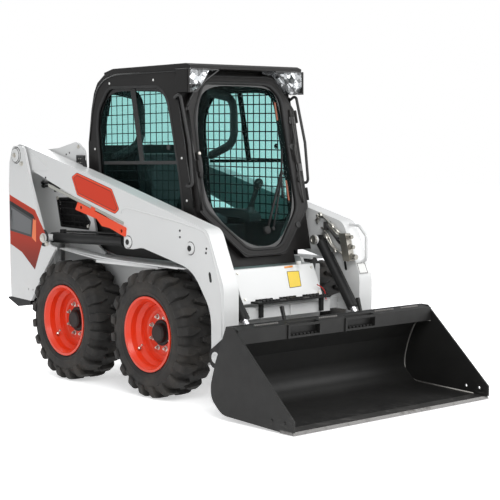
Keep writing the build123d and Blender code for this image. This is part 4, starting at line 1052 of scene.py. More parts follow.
@dataclass(frozen=True)
class CabDoor(Kit):
    """Printed border, seals, edge lip, cables, latch and wiper of the front door, on its leaning plane.

    Rows of three are (u, v, height) on that plane.
    """

    body: str = "cab_door"
    foot: tuple[float, float] = (-107.3, 1400.0)
    lean: float = 0.21
    face: float = 40.0
    glass: float = 30.0
    opening: Rows = ((-278, 494), (255, 494), (342, 410), (350, -305), (160, -545), (-100, -545), (-400, -275),
                     (-380, 290))
    rim: Rows = ((-300, 545), (300, 545), (345, 476), (440, 330), (440, -300), (195, -588), (-135, -588),
                 (-440, -300), (-440, 330), (-345, 476))
    lips: tuple[Rows, ...] = (((-428, 320, 44), (-428, -290, 44)), ((-332, 480, 44), (-428, 345, 44)))
    cables: tuple[Rows, ...] = (
        ((398, 330, 46), (392, 120, 60), (400, -20, 50), (386, -160, 60), (404, -270, 46)),
        ((412, 300, 48), (412, 140, 52), (372, 60, 60), (406, -60, 48)))
    bosses: Rows = ((398, 250, 40), (372, 90, 40), (402, -120, 40), (330, -410, 40), (-330, -410, 40))
    lever: Rows = ((-402, 62, 52), (-398, -10, 58), (-404, -92, 52))
    arms: tuple[tuple[Rows, float], ...] = (
        (((69, -432, 40), (262, -60, 38)), 8.5), (((120, -424, 40), (250, -110, 38)), 6.0),
        (((238, -92, 38), (270, -78, 38)), 8.0), (((236, -236, 36), (262, -60, 36), (290, 74, 36)), 6.5))

    @property
    def seat(self) -> Seat2D:
        """The door's plane: u to the machine's left, v up the lean."""
        return front_seat(*self.foot, self.lean, 1.0)

    def line(self, outline: Rows, corner: float, by: float) -> np.ndarray:
        """Outline in metres with rounded corners, moved inwards."""
        return inset(rounded(ccw(np.asarray(outline, float) * MM), corner * MM, steps=8), by * MM)

    def along(self, run: Rows) -> np.ndarray:
        """(u, v, height) rows as (x, d, z) rows."""
        row = np.asarray(run, float)
        return (self.seat.place(row[:, :2] * MM, row[:, 2] * MM) - (0.0, Machine.axle_y, 0.0)) / MM

    def build(self) -> None:
        """Make all of it."""
        seat = self.seat
        self.ring("door_glass_border", Finish.BORDER, self.line(self.opening, 60, 1), self.line(self.opening, 190, 17),
                  seat, self.glass + 0.2, self.glass + 1.2)
        inner = sweep(seat.place(self.line(self.opening, 60, -1), self.face * MM), seat.out, bead(9, 6, 9))
        outer = sweep(seat.place(self.line(self.rim, 60, 9), self.face * MM), seat.out, bead(5, 2.5))
        self.put("door_seals", *joined([inner, outer]), Finish.SEAL)
        self.pipes("door_lip", Finish.BORDER, 7, [self.along(run) for run in self.lips])
        self.pipes("door_cables", Finish.HOSE, 5, [self.along(run) for run in self.cables], 60.0)
        self.heads("door_bosses", Finish.TRIM, 20, self.along(self.bosses), seat.out, CAP)
        self.pipes("door_latch_lever", Finish.TRIM, 13, [self.along(self.lever)], 30.0, 10)
        self.heads("door_latch_stud", Finish.ZINC, 11, self.along([(-402, 52, 64)]), seat.out, DOME)
        for name, top, low, v in (("upper", 378, 262, 262), ("lower", -123, -251, -40)):
            strip = np.array([(285, low), (299, low), (299, top), (285, top)]) * MM
            self.plate(f"door_{name}_marker", Finish.RUST, strip, seat, [(0, 31.2), (0, 32.5)])
            block = np.array([(384, v - 30), (432, v - 30), (432, v + 26), (384, v + 20)]) * MM
            self.plate(f"door_{name}_hinge_block", Finish.BORDER, block, seat, [(0, 39.5), (0, 46), (4, 50)])
        self.wiper()

    def wiper(self) -> None:
        """Parked wiper: two arms, the link between their tips and the blade, and their two spindles."""
        parts = [tube(Machine.at(self.along(run)), radius * MM, 8) for run, radius in self.arms]
        spots = Machine.at(self.along([(69, -432, 31), (120, -424, 31)]))
        cap = [(0.0, 0.026), (0.014, 0.026), (0.018, 0.022), (0.020, 0.010)]
        stem = [(0.0, 0.012), (0.012, 0.012), (0.015, 0.009)]
        parts += [lathe(rows, spot, self.seat.out, steps) for rows, spot, steps in zip((cap, stem), spots, (24, 16))]
        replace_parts(self.put("parked_wiper", *joined(parts), Finish.DARK), "door_wiper")


@dataclass(frozen=True)
class HeadLamp(Kit):
    """Bezel, bulbs, outer shroud and cheek of one lamp under the visor."""

    body: str = "cab"
    front: float = -138.0
    shroud_x: float = 462.0
    bulbs: Rows = ((407, 1886), (342, 1936))
    outline: Rows = ((213, 1968), (323, 1901), (401, 1828), (462, 1828), (462, 1920), (450, 1968))
    shroud: Rows = ((-139, 1826), (-139, 1969), (-16, 1969), (-16, 1826))
    cheek: Rows = ((455, 1966), (468, 1966), (468, 1826), (455, 1826))

    def build(self) -> None:
        """Make all of it."""
        seat = front_seat(self.front, 0.0, 0.0, 1.0)
        lens, cheek = (ccw(np.asarray(rows, float) * MM * (self.side, 1.0)) for rows in (self.outline, self.cheek))
        outer, inner = (inset(rounded(lens, corner * MM), by * MM) for corner, by in ((10, 0.3), (12, 7)))
        self.ring("lamp_bezel", Finish.BORDER, outer, inner, seat, 0.3, 1.0)
        bulbs = [(self.side * x, self.front - 0.2, z) for x, z in self.bulbs]
        self.heads("lamp_bulbs", Finish.REFLECTOR, 12, bulbs, (0, -1, 0), [(0.0, 1.0), (0.08, 0.9), (0.12, 0.4)])
        self.plate("lamp_shroud", Finish.CAB, self.flat(self.shroud), self.wall(self.shroud_x),
                   [(0, 0.3), (0, 3), (3, 6)], "cab_trim")
        self.plate("lamp_cheek", Finish.CAB, cheek, seat, [(0, -6), (0, 1.2), (2, 2.2)], "cab_trim")


@dataclass(frozen=True)
class RearWindow(Kit):
    """Tall rear pane that follows the cab's back, and the wall round it."""

    body: str = "cab"
    half: float = 330.0
    foot: float = 1512.0
    head: float = 1866.0
    back: Rows = ((933, 1300), (933, 1527), (895, 1742), (864, 1849), (825, 1912))
    depth: float = 18.0
    thickness: float = 6.0
    cut_d: tuple[float, float] = (760.0, 960.0)
    panel_half: float = 342.0
    panel_d: tuple[float, float] = (899.0, 932.0)
    panel_foot: float = 1328.0

    def d(self, z: np.ndarray, by: float) -> np.ndarray:
        """Distance d of the cab's back at height z, moved forward by so many mm."""
        rows = np.array(self.back)
        return np.interp(z, rows[:, 1], rows[:, 0]) - by

    @staticmethod
    def box(half: float, d: tuple[float, float], z: tuple[float, float]) -> tuple[np.ndarray, list[tuple[int, ...]]]:
        """Box from -half to half across the machine."""
        verts = Machine.at([(x, y, h) for x in (-half, half) for y in d for h in z])
        return verts, [(0, 1, 3, 2), (4, 6, 7, 5), (0, 4, 5, 1), (2, 3, 7, 6), (0, 2, 6, 4), (1, 5, 7, 3)]

    def shell(self) -> None:
        """The cab frame with its rear opening moved up to the pane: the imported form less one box."""
        body = self.copy("cab_frame", "cab_shell", Finish.CAB)
        tool = Kit(0, "").put("cab_cutter", *self.box(self.half, self.cut_d, (self.foot, self.head)), Finish.CAB)
        applied(body, "BOOLEAN", operation="DIFFERENCE", object=tool, solver="EXACT")
        bpy.data.objects.remove(tool)
        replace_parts(self.settle(body, Finish.CAB), "cab_frame")

    def build(self) -> None:
        """Make the wall, the panel below the pane, and the glass swept across along the back's line."""
        self.shell()
        self.put("cab_rear_panel", *self.box(self.panel_half, self.panel_d, (self.panel_foot, self.foot)), Finish.CAB,
                 smooth=False)
        z = np.linspace(self.foot, self.head, 15)
        near, far = (np.stack([self.d(z, by), z], 1) for by in (self.depth, self.depth + self.thickness))
        line = np.concatenate([near, far[::-1]])
        rows = [Machine.at(np.column_stack([np.full(len(line), x), line])) for x in (-self.half, self.half)]
        glass = self.put("rear_pane", np.concatenate(rows), capped(2, len(line)), Finish.GLASS, smooth=False)
        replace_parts(glass, "rear_window")


@dataclass(frozen=True)
class CabInside(Kit):
    """Padding on the seat bar, grips on the levers, and the seat's own cushions swollen by pressure."""

    body: str = "cab"
    bar_x: float = 385.0
    loop: Rows = ((712, 1862), (620, 1858), (452, 1812), (446, 1522), (700, 1436))
    section: Rows = ((-25, -12), (-21, -16), (21, -16), (25, -12), (25, 12), (21, 16), (-21, 16), (-25, 12))
    knob: Rows = ((0.0, 0.016), (0.010, 0.024), (0.034, 0.029), (0.054, 0.027), (0.066, 0.018), (0.070, 0.004))
    knob_place: tuple[float, float, float] = (300.0, 126.0, 1228.0)
    knob_lean: tuple[float, float, float] = (0.0, -56.0, 110.0)
    voxel: float = 10.0
    shrink: float = 8.0
    pressure: float = 4.0
    frames: int = 20
    swell: float = 12.0
    margin: float = 0.5

    def cushions(self) -> None:
        """The seat's form remeshed, shrunk, blown up as cloth and smoothed once, kept in the seat's box."""
        pad = self.copy("seat", "seat_cushions", Finish.VINYL)
        applied(pad, "REMESH", mode="VOXEL", voxel_size=self.voxel * MM, use_smooth_shade=True)
        start = points(pad.data) - self.shrink * MM * points(pad.data, "normal")
        pad.data.vertices.foreach_set("co", start.ravel())
        pad.data.update()
        self.inflate(pad, start)
        applied(pad, "SUBSURF", levels=1, render_levels=1)
        low, high = (np.array(c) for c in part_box("seat"))
        held = np.clip(points(pad.data), low + self.margin * MM, high - self.margin * MM)
        pad.data.vertices.foreach_set("co", held.ravel())
        pad.data.materials.clear()
        pad.data.materials.append(Finish.VINYL.material)
        pad.data.polygons.foreach_set("use_smooth", np.ones(len(pad.data.polygons), bool))
        pad.data.update()
        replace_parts(self.settle(pad, Finish.VINYL), "seat")

    def inflate(self, pad: bpy.types.Object, start: np.ndarray) -> None:
        """Blow the cushions up as cloth with inner pressure; no point moves further than swell."""
        cloth = pad.modifiers.new("cloth", "CLOTH")
        cloth.settings.quality = 4
        cloth.settings.use_pressure, cloth.settings.uniform_pressure_force = True, self.pressure
        cloth.settings.effector_weights.gravity = 0.0
        cloth.point_cache.frame_start, cloth.point_cache.frame_end = 1, self.frames
        scene = bpy.context.scene
        for number in range(1, self.frames + 1):
            scene.frame_set(number)
        blown = bpy.data.meshes.new_from_object(pad.evaluated_get(bpy.context.evaluated_depsgraph_get()))
        pad.modifiers.remove(cloth)
        move = points(blown) - start
        length = np.linalg.norm(move, axis=1, keepdims=True)
        place = start + move * np.minimum(1.0, self.swell * MM / np.maximum(length, 1e-9))
        pad.data.vertices.foreach_set("co", place.astype(np.float32).ravel())
        scene.frame_set(1)
        log.info("cloth moved points up to %.1f mm; %.0f %% of them are held at %.1f mm", float(length.max()) / MM,
                 100.0 * float((length > self.swell * MM).mean()), self.swell)

    def build(self) -> None:
        """Make all of it."""
        x = np.array([1.0, 0, 0])
        loops = [rounded([(side * self.bar_x, d, z) for d, z in self.loop], 90.0, closed=False) for side in (-1, 1)]
        parts = [sweep(Machine.at(line), x, self.section, closed=False) for line in loops]
        self.put("seat_bar_padding", *joined(parts), Finish.TRIM)
        self.cushions()
        across, d, z = self.knob_place
        feet = Machine.at([(-across, d, z), (across, d, z)])
        knobs = [lathe(self.knob, foot, unit(np.array(self.knob_lean)), 24) for foot in feet]
        self.put("lever_knobs", *joined(knobs), Finish.TRIM)


# ---- Body -----------------------------------------------------------------------------------
@dataclass(frozen=True)
class Upright(Kit):
    """Sticker, pin covers, bolts and socket on one rear upright."""

    face: float = 632.0
    inner: float = 478.0
    pivot: tuple[float, float] = (1532, 1447)
    lift_base: tuple[float, float] = (1203, 902)
    stickers: tuple[tuple[str, Finish, Rows, Rows, Optional[str]], ...] = (
        ("", Finish.CHEVRON, ((1626, 1180), (1596, 1169), (1308, 1084), (1190, 936), (1321, 684), (1481, 793),
                              (1626, 842)), ((0, 0.3), (0, 0.8), (22, 0.9)), None),
        ("_field", Finish.FIELD, ((1626, 1112), (1599, 1105), (1335, 1023), (1352, 900), (1605, 930), (1626, 934)),
         ((0, 0.9), (0, 1.3), (30, 1.4)), None),
        ("_shade", Finish.DARK, ((1626, 1138), (1590, 1128), (1330, 1050), (1300, 1010), (1330, 1028), (1335, 1023),
                                 (1626, 1113)), ((0, 0.9), (0, 1.2)), "signal_paint"),
        # the last piece is a painted highlight: a bright patch on the flat sticker where the grey field's lower corner
        # catches the light
        ("_bevel", Finish.BEVEL, ((1296, 1018), (1330, 1022), (1350, 896), (1300, 868)), ((0, 0.9), (0, 1.2)), None))
    cover: Rows = ((0.0, 1.0), (0.05, 1.0), (0.09, 0.94), (0.09, 0.62), (0.13, 0.60), (0.13, 0.1))
    socket: Rows = ((1024, 1449), (932, 1447), (930, 1378), (1022, 1380))

    def build(self) -> None:
        """Make the blank stickers, then the heads of the outer plate and those of the inner plate."""
        for name, finish, rows, levels, slot in self.stickers:
            self.plate(f"chevron{name}", finish, self.flat(rows), self.wall(self.face), levels, slot)
        x, both = self.face, (self.pivot, self.lift_base)
        # painted shadow: thin dark discs under the pin covers show as dark rings round the bosses
        self.heads("pin_shadow_rings", Finish.DARK, 58, self.spots(x, both), profile=((0, 1), (0.012, 1), (0.012, 0.9)))
        self.heads("pivot_cover", Finish.WHITE, 46, self.spots(x + 8, both[:1]), profile=self.cover)
        self.heads("pivot_shadow_ring", Finish.DARK, 51, self.spots(x + 8, both[:1]),
                   profile=((0, 1), (0.008, 1), (0.008, 0.5)))
        self.heads("foot_pin", Finish.ZINC, 27, self.spots(x + 8, both[1:]), profile=CAP)
        bolts = [*self.spots(x + 14, both[:1]), *self.spots(x, [(1465, 1391), (1167, 866)])]
        self.heads("upright_bolts", Finish.ZINC, 17, bolts)
        pins = [(1000 - 22 * k, 1398 + 28 * r) for k in range(3) for r in range(2)]
        for name, finish, size, up, rows, profile in (
                ("inner_bolts", Finish.ZINC, 13, 0, ((1009, 1503), (1266, 1161), (905, 985)), HEX),
                # the dark domes below stand for the shade in holes in the inner plate
                ("inner_holes", Finish.DARK, 6, 0, ((1154, 1453), (1116, 1463), (1060, 1372)), DOME),
                ("socket_pins", Finish.ZINC, 5, 6, pins, DOME)):
            self.heads(name, finish, size, self.spots(self.inner + up, rows), profile=profile)
        self.plate("socket", Finish.TRIM, self.flat(self.socket), self.wall(self.inner),
                   [(0, 0.3), (0, 10), (6, 14), (18, 14), (19, 6)], "black_paint")


@dataclass(frozen=True)
class SideGrille(Kit):
    """Cross bars of one side grille and the finned cooler core behind it, whose near-black plate also paints the shade
    of the bay behind the grille.
    """

    bars: tuple[float, ...] = (1008.0, 1052.0, 1096.0, 1138.0)
    bar: float = 4.5
    bar_x: float = 472.0
    core_x: float = 458.0
    fin: float = 1.6
    fin_pitch: float = 9.0
    rear: Rows = ((978, 1226), (1153, 1268))
    front: Rows = ((970, 905), (1010, 893), (1162, 1075))

    def build(self) -> None:
        """Make all of it. The bars end on the opening's rear and front edges, given as (z, d)."""
        flat = self.flat([(1075, 1162), (1268, 1153), (1226, 978), (905, 970), (893, 1010)])
        lines = [self.spots(self.bar_x, [(np.interp(z, *zip(*edge)), z) for edge in (self.rear, self.front)])
                 for z in self.bars]
        self.put("grille_bars", *rods(np.stack([Machine.at(line) for line in lines]), self.bar * MM), Finish.BLACK)
        seat = self.wall(self.core_x)
        # painted shade: the near-black core plate stands for the dark engine bay seen through the grille
        self.plate("cooler_core", Finish.DARK, inset(flat, -0.014), seat, [(0, -12), (0, -4)])
        fins = seat.place(chords(inset(flat, -0.012), (0.0, 1.0), self.fin_pitch * MM), -0.003)
        self.put("cooler_fins", *rods(fins, self.fin * MM, 4), Finish.BLACK)


@dataclass(frozen=True)
class LiftArm(Kit):
    """Sticker, flange strip of painted reflection, ridge, pin covers and small marks of painted shade on one lift arm's
    outer face.
    """

    body: str = "lift_arms"
    face: float = 600.0
    inner: float = 490.0
    slot_place: tuple[float, float] = (-494.0, 757.0)
    slot_turn: float = 78.0
    badge: Rows = ((908, 1309), (850, 1336), (468, 1240), (393, 1118), (436, 1090), (850, 1197))
    strip: Rows = ((1188, 1262), (1182, 1238), (345, 1026), (345, 1042))
    ridge: Rows = ((372, 1096), (346, 1134), (-218, 1061), (-440, 1022), (-487, 968), (-594, 680), (-596, 420))
    pins: Rows = ((298, 920), (-315, 914))
    holes: Rows = ((-217, 1013), (-217, 975), (-462, 920), (-458, 895), (1220, 1300))
    slot: Rows = ((-21, -10), (21, -10), (30, -4), (30, 4), (21, 10), (-21, 10), (-30, 4), (-30, -4))
    boss: Rows = ((0.0, 1.0), (0.06, 1.0), (0.12, 0.9), (0.12, 0.56), (0.02, 0.52), (0.02, 0.1))

    def sticker(self) -> None:
        """Blank hexagonal sticker: dark rim, bright edge, fine line and shaded field."""
        seat = self.wall(self.face)
        edge, rim, field, line = (rounded(inset(self.flat(self.badge), by), corner, steps=4) for by, corner in (
            (-0.003, 0.012), (0.0, 0.010), (0.012, 0.010), (0.016, 0.010)))
        self.plate("arm_sticker", Finish.LOCK, rim, seat, [(0, 0.3), (0, 0.8)])
        self.ring("arm_sticker_line", Finish.CRIMSON, field, line, seat, 0.8, 1.3)
        self.plate("arm_sticker_field", Finish.BADGE, line, seat, [(0, 0.8), (0, 1.2)])
        self.ring("arm_sticker_rim", Finish.CRIMSON, edge, rim, seat, 0.2, 0.7)

    def build(self) -> None:
        """Make all of it."""
        self.sticker()
        # the flange strip is a painted reflection: a grey-olive band on the white arm along its lower lip
        self.plate("arm_flange", Finish.OLIVE, self.flat(self.strip), self.wall(self.face), [(0, 0.3), (0, 4), (3, 6)])
        self.pipes("arm_ridge", Finish.WHITE, 5.0, [self.spots(self.face - 2.0, self.ridge)], 60.0)
        # painted shade: the dark pin heads stand for the shaded bores in the white pin rings, thin dark discs make
        # shadow rings round the bosses, and dark domes stand for small holes
        for name, finish, size, up, rows, profile in (
                ("arm_pin_rings", Finish.WHITE, 34, 6, self.pins, self.boss),
                ("arm_pin_heads", Finish.DARK, 16, 6.6, self.pins, CAP),
                ("tip_pin_head", Finish.WHITE, 34, 2.5, ((-548, 300),), CAP),
                ("arm_pin_shadow_rings", Finish.DARK, 41, 0, self.pins, ((0.0, 1.0), (0.012, 1.0), (0.012, 0.8))),
                ("arm_holes", Finish.DARK, 7, 0, self.holes, DOME)):
            self.heads(name, finish, size, self.spots(self.face + up, rows), profile=profile)
        way = np.array([math.cos(math.radians(self.slot_turn)), math.sin(math.radians(self.slot_turn))])
        ends = np.array(self.slot)
        slot = np.array(self.slot_place) + ends[:, :1] * way + ends[:, 1:] * (-way[1], way[0])
        # painted shade: dark plates fill the slot on both faces of the arm
        for name, x, facing in (("outer", self.face, self.side), ("inner", self.inner, -self.side)):
            self.plate(f"arm_slot_{name}", Finish.DARK, self.flat(slot, facing), self.wall(x, facing),
                       [(0, 0.2), (0, 0.6)])


@dataclass(frozen=True)
class FrontEnd(Kit):
    """Blank label, strip, cap and bolts on the front panel, whose face leans from foot to top, as (d, z)."""

    foot: tuple[float, float] = (-463.0, 573.0)
    top: tuple[float, float] = (-372.0, 773.0)

    def build(self) -> None:
        """Make all of it."""
        seat = front_seat(*self.foot, self.top[0] - self.foot[0], self.top[1] - self.foot[1])
        label = np.array([(75, 76), (172, 79), (189, 178), (91, 181)]) * MM
        self.plate("front_label", Finish.YELLOW, label, seat, [(0, 0.3), (0, 0.8), (4, 0.9)])
        edge = ccw(rounded(label, 0.004, steps=4))
        self.ring("front_label_edge", Finish.DARK, inset(edge, -0.0012), inset(edge, 0.002), seat, 0.3, 1.2)
        strip = np.array([(80, 203), (150, 206), (152, 217), (82, 214)]) * MM
        self.plate("front_amber_strip", Finish.AMBER, strip, seat, [(0, 0.3), (0, 2), (2, 3)])
        self.heads("front_filler_cap", Finish.PALE, 15, [(170, -410, 775)], (0, 0, 1),
                   [(0.0, 0.8), (0.5, 0.8), (0.55, 1.0), (1.4, 1.0), (1.6, 0.8)], "body_paint")
        corners = np.array([(-300, 30), (300, 30), (-300, 195), (300, 195)]) * MM
        spots = (seat.place(corners) - (0.0, Machine.axle_y, 0.0)) / MM
        self.heads("front_panel_bolts", Finish.ZINC, 9, spots, seat.out)


@dataclass(frozen=True)
class SideHoses(Kit):
    """Lip along one fender, and the hoses and ribbed air hose that one upright carries, as (d, z)."""

    lip_x: float = 600.0
    run_x: float = 486.0
    air_foot: tuple[float, float, float] = (495.0, 900.0, 1328.0)
    lip: Rows = ((1063, 838), (440, 800), (60, 790), (-190, 786))
    runs: tuple[Rows, ...] = (((1446, 1262), (1330, 1262), (1250, 1238), (1236, 1218)),
                              ((1440, 1238), (1352, 1240), (1290, 1224), (1278, 1204)))
    unions: Rows = ((1428, 1262), (1422, 1238), (1252, 1240))

    def build(self) -> None:
        """Make all of it."""
        self.pipes("fender_lip", Finish.WHITE, 4, [self.spots(self.lip_x, self.lip)], 90.0)
        self.pipes("upright_hoses", Finish.HOSE, 9, [self.spots(self.run_x, run) for run in self.runs], 60.0, 10)
        ribs = [(0.0055 * k, 0.012 + 0.0025 * (k % 2)) for k in range(17)]
        x, d, z = self.air_foot
        air = lathe(ribs, Machine.at([(self.side * x, d, z)])[0], unit(np.array([0.0, 0.25, 1.0])), 16)
        self.put("air_hose", *air, Finish.SEAL, "hose_rubber")
        self.heads("hose_unions", Finish.BLACK, 14, self.spots(self.run_x, self.unions), (0, -1, 0), UNION)


@dataclass(frozen=True)
class FrontHoses(Kit):
    """Hoses and the red cable ahead of the cab's left corner."""

    runs: tuple[Rows, ...] = (((392, -318, 800), (350, -345, 690), (342, -400, 610), (342, -438, 575)),
                              ((366, -318, 770), (336, -352, 680), (334, -410, 620), (334, -452, 582)))
    cable: Rows = ((282, -455, 650), (330, -470, 620), (345, -470, 560), (345, -468, 490))

    def build(self) -> None:
        """Make all of it."""
        self.pipes("front_hoses", Finish.HOSE, 11, self.runs, 60.0, 10)
        self.pipes("front_red_cable", Finish.RED_LENS, 3.5, [self.cable], 40.0)


@dataclass(frozen=True)
class ArmLines(Kit):
    """Steel lines, hoses and fittings on the left arm's inner face, pin caps, and its blank label."""

    body: str = "lift_arms"
    silver: tuple[Rows, ...] = (
        ((478, -250, 1012), (470, -269, 1057), (470, -331, 1051), (470, -387, 983), (470, -455, 946)),
        ((478, -290, 985), (470, -330, 972), (470, -368, 934), (470, -400, 873), (470, -490, 828)),
        ((478, -240, 1030), (462, -300, 1070), (462, -352, 1040), (462, -408, 1000), (462, -470, 960)),
        ((478, -300, 950), (462, -350, 930), (462, -392, 880), (462, -430, 850), (462, -500, 838)))
    dark: tuple[Rows, ...] = (((480, -377, 832), (480, -499, 667), (480, -604, 520)),
                              ((480, -352, 815), (480, -470, 660), (480, -560, 520)))
    tag_foot: tuple[float, float] = (-617.0, 706.0)
    tag_rise: tuple[float, float] = (145.0, 322.0)
    tilt_pin: tuple[float, float, float] = (391.0, -315.0, 914.0)

    def build(self) -> None:
        """Make all of it."""
        self.pipes("arm_steel_lines", Finish.ZINC, 6.5, self.silver, 34.0, 10)
        self.pipes("arm_dark_lines", Finish.HOSE, 9.0, self.dark, 60.0, 10)
        nuts = [run[k] for run in self.silver for k in (1, 3)]
        self.heads("arm_line_nuts", Finish.ZINC, 13, nuts, (0, -0.6, -0.8), [*UNION, (1.1, 0.5)])
        x, d, z = self.tilt_pin
        for name, side in (("", 1), ("right_", -1)):
            self.heads(f"{name}tilt_pin_cap", Finish.ZINC, 30, [(side * x, d, z)], (-side, 0, 0), CAP)
        front = front_seat(*self.tag_foot, *self.tag_rise)
        tag = np.array([(492, 6), (568, 6), (566, 78), (493, 80)]) * MM
        self.plate("left_arm_tag", Finish.PALE, tag, front, [(0, 1.5), (0, 2.2)], "body_paint")
        edge = ccw(rounded(tag, 0.004, steps=4))
        self.ring("left_arm_tag_edge", Finish.DARK, inset(edge, 0.002), inset(edge, 0.0055), front, 2.2, 2.6)


@dataclass(frozen=True)
class BucketTrim(Kit):
    """Welds, foothold frames, worn treads and bolts of the bucket."""

    body: str = "bucket"
    half: float = 787.5
    wall_thickness: float = 10.0
    inside: Rows = ((-1290, 22), (-816, 39.5), (-760, 66), (-731, 114), (-731, 190), (-774, 322), (-832, 428),
                    (-944, 430))
    holds: Rows = ((-400.0, -170.0), (50.0, 280.0))
    treads: Rows = ((-620.0, -440.0), (-130.0, 20.0), (330.0, 500.0), (560.0, 720.0))
    tread_pitch: float = 15.0
    tread_place: tuple[float, float] = (-905.0, 519.0)
    beam: tuple[float, float] = (-944.0, 430.0)
    side_bolts: Rows = ((-1180, 240), (-955, 455))
    bolt_sunk: float = 5.4

    def build(self) -> None:
        """Make the fillet welds at the side plates, then the frames, treads and bolt heads."""
        x = self.half - self.wall_thickness - 1
        lines = [rounded([(side * x, d, z) for d, z in self.inside], 60.0, closed=False) for side in (-1, 1)]
        self.put("bucket_welds", *joined([tube(Machine.at(line), 5.5 * MM, 8) for line in lines]), Finish.WELD)
        seat = front_seat(*self.beam, -4.0, 82.0)
        for number, (x0, x1) in enumerate(self.holds):
            outer, inner = (np.array([(x0 - out, low), (x1 + out, low), (x1 + out, high), (x0 - out, high)]) * MM
                            for out, low, high in ((14, 2, 80), (-1, 14, 66)))
            self.ring(f"foothold_frame_{number}", Finish.BUCKET, outer, inner, seat, 0.3, 8.0)
        studs = [(x0 + self.tread_pitch * k, *self.tread_place) for x0, x1 in self.treads
                 for k in range(int((x1 - x0) // self.tread_pitch))]
        self.heads("bucket_treads", Finish.WORN, 7, studs, (0.0, -0.15, 1.0), [(0.0, 1.0), (0.8, 0.9), (1.0, 0.5)])
        heads = [(side * (self.half - self.bolt_sunk), d, z) for side in (-1, 1) for d, z in self.side_bolts]
        ways = [(side, 0, 0) for side in (-1, -1, 1, 1)]
        self.heads("bucket_side_bolts", Finish.DARK, 9, heads, ways, DOME)


# ---- Studio ---------------------------------------------------------------------------------
@dataclass(frozen=True)
class Studio:
    """Floor, soft lights and the camera."""

    eye: tuple[float, float, float] = (-5.655, -6.8305, 1.543)
    yaw: float = 40.87
    pitch: float = 4.505
    roll: float = -0.33
    lens: float = 100.83
    floor_half: float = 30.0
    floor_drop: float = 0.0005
    lamps: tuple[tuple[str, tuple[float, float, float], float, float], ...] = (
        ("key", (-3.6, -6.0, 6.0), 4.5, 400.0), ("fill", (5.0, -5.0, 4.0), 5.0, 220.0),
        ("back", (1.0, 6.0, 5.0), 5.0, 260.0))
    aim: tuple[float, float, float] = (0.0, 0.0, 0.8)

    def camera(self) -> None:
        """Camera with axes right, up and back from yaw, pitch and roll."""
        yaw, pitch, roll = (math.radians(v) for v in (self.yaw, self.pitch, self.roll))
        ahead = Vector((math.sin(yaw) * math.cos(pitch), math.cos(yaw) * math.cos(pitch), -math.sin(pitch)))
        right = Vector((math.cos(yaw), -math.sin(yaw), 0.0))
        up = right.cross(ahead)
        across = right * math.cos(roll) + up * math.sin(roll)
        above = up * math.cos(roll) - right * math.sin(roll)
        data = bpy.data.cameras.new("camera")
        data.lens, data.sensor_width, data.clip_end = self.lens, 36.0, 200.0
        camera = bpy.data.objects.new("camera", data)
        turn = Matrix((across, above, -ahead)).transposed().to_4x4()
        camera.matrix_world = Matrix.Translation(self.eye) @ turn
        bpy.context.scene.collection.objects.link(camera)
        bpy.context.scene.camera = camera

    def lamp(self, name: str, place: Sequence[float], size: float, power: float) -> None:
        """Square soft box at a place, aimed at the machine's middle."""
        data = bpy.data.lights.new(name, "AREA")
        data.shape, data.size, data.energy = "SQUARE", size, power
        lamp = bpy.data.objects.new(name, data)
        way = Vector(self.aim) - Vector(place)
        lamp.matrix_world = Matrix.Translation(place) @ way.to_track_quat("-Z", "Y").to_matrix().to_4x4()
        bpy.context.scene.collection.objects.link(lamp)

    def world(self) -> None:
        """Even pale light; pure white where the camera or a reflection meets it."""
        g = Graph("studio", "worlds")
        light, back = (g.add("ShaderNodeBackground", inputs={"Color": (*colour, 1.0), "Strength": strength})
                       for colour, strength in (((0.97, 0.985, 1.0), 0.58), ((1.0, 1.0, 1.0), 1.0)))
        seen = g.ray("Camera").math("MAXIMUM", g.ray("Transmission"))
        bpy.context.scene.world = g.finish(g.add("ShaderNodeMixShader", inputs={0: seen, 1: light, 2: back}))

    def floor(self) -> None:
        """A wide card just under the tyres."""
        h, z = self.floor_half, -self.floor_drop
        verts = np.array([(-h, -h, z), (h, -h, z), (h, h, z), (-h, h, z)])
        Kit(0, "").put("floor", verts, [[0, 1, 2, 3]], Finish.FLOOR, shells=False)

    def build(self) -> None:
        """Make the whole studio."""
        self.camera()
        self.world()
        self.floor()
        for name, place, size, power in self.lamps:
            self.lamp(name, place, size, power)
        bpy.context.scene.view_settings.view_transform = "Standard"


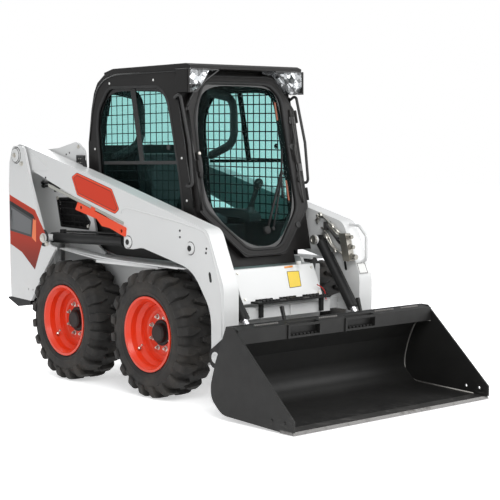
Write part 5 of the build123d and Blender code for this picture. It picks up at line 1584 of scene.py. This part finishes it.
# ---- CAD nodes' finishes --------------------------------------------------------------------
@dataclass(frozen=True)
class NodeFinishes:
    """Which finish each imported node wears."""

    table: tuple[tuple[Finish, str], ...] = (
        (Finish.ORANGE, "front_left_rim front_right_rim rear_left_rim rear_right_rim tailgate"),
        (Finish.LOCK, "arm_lock"),
        (Finish.HUB, "front_left_hub front_right_hub rear_left_hub rear_right_hub"),
        (Finish.WHITE, "main_frame front_panel left_upright right_upright left_arm right_arm arm_cross_beam"),
        (Finish.BLACK, "rear_bumper engine front_step lift_barrels tilt_barrels side_grilles door_wiper rear_hood"),
        (Finish.ROD, "lift_rods tilt_rods"),
        (Finish.BRASS, "hydraulic_couplers"),
        (Finish.BUCKET, "bucket_shell coupler_frame"),
        (Finish.EDGE, "cutting_edge"),
        (Finish.CAB, "cab_frame cab_pivots cab_roof door_frame"),
        (Finish.GLASS, "side_windows rear_window door_glass"),
        (Finish.VINYL, "seat"),
        (Finish.TRIM, "seat_base control_levers seat_bar grab_rail"),
        (Finish.LENS, "headlamps"),
        (Finish.HOSE, "arm_hoses"),
        (Finish.RED_LENS, "tail_lamps"),
    )

    def dress(self) -> None:
        """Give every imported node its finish."""
        for finish, names in self.table:
            for name in names.split():
                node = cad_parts.get(name)
                if node is None:
                    log.warning("no node %s", name)
                    continue
                node.data.materials.clear()
                node.data.materials.append(finish.material)


def main() -> None:
    """Build the machine's looks in order."""
    logging.basicConfig(level=logging.INFO, format="%(name)s %(message)s")
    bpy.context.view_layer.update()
    Studio().build()
    NodeFinishes().dress()
    for end, y in (("front", Machine.axle_y), ("rear", Machine.rear_y)):
        for side, which in ((-1, "right"), (1, "left")):
            Wheel(side, f"{end}_{which}_wheel", y).build()
    for side, wire in ((-1, 2.8), (1, 3.9)):
        CabSide(side, wire=wire).build()
        for kit in (HeadLamp, Upright, SideGrille, LiftArm, SideHoses):
            kit(side).build()
    for kit in (RearWindow, CabInside, CabDoor, FrontHoses, FrontEnd, ArmLines, BucketTrim):
        kit().build()


if __name__ == "__main__":
    main()
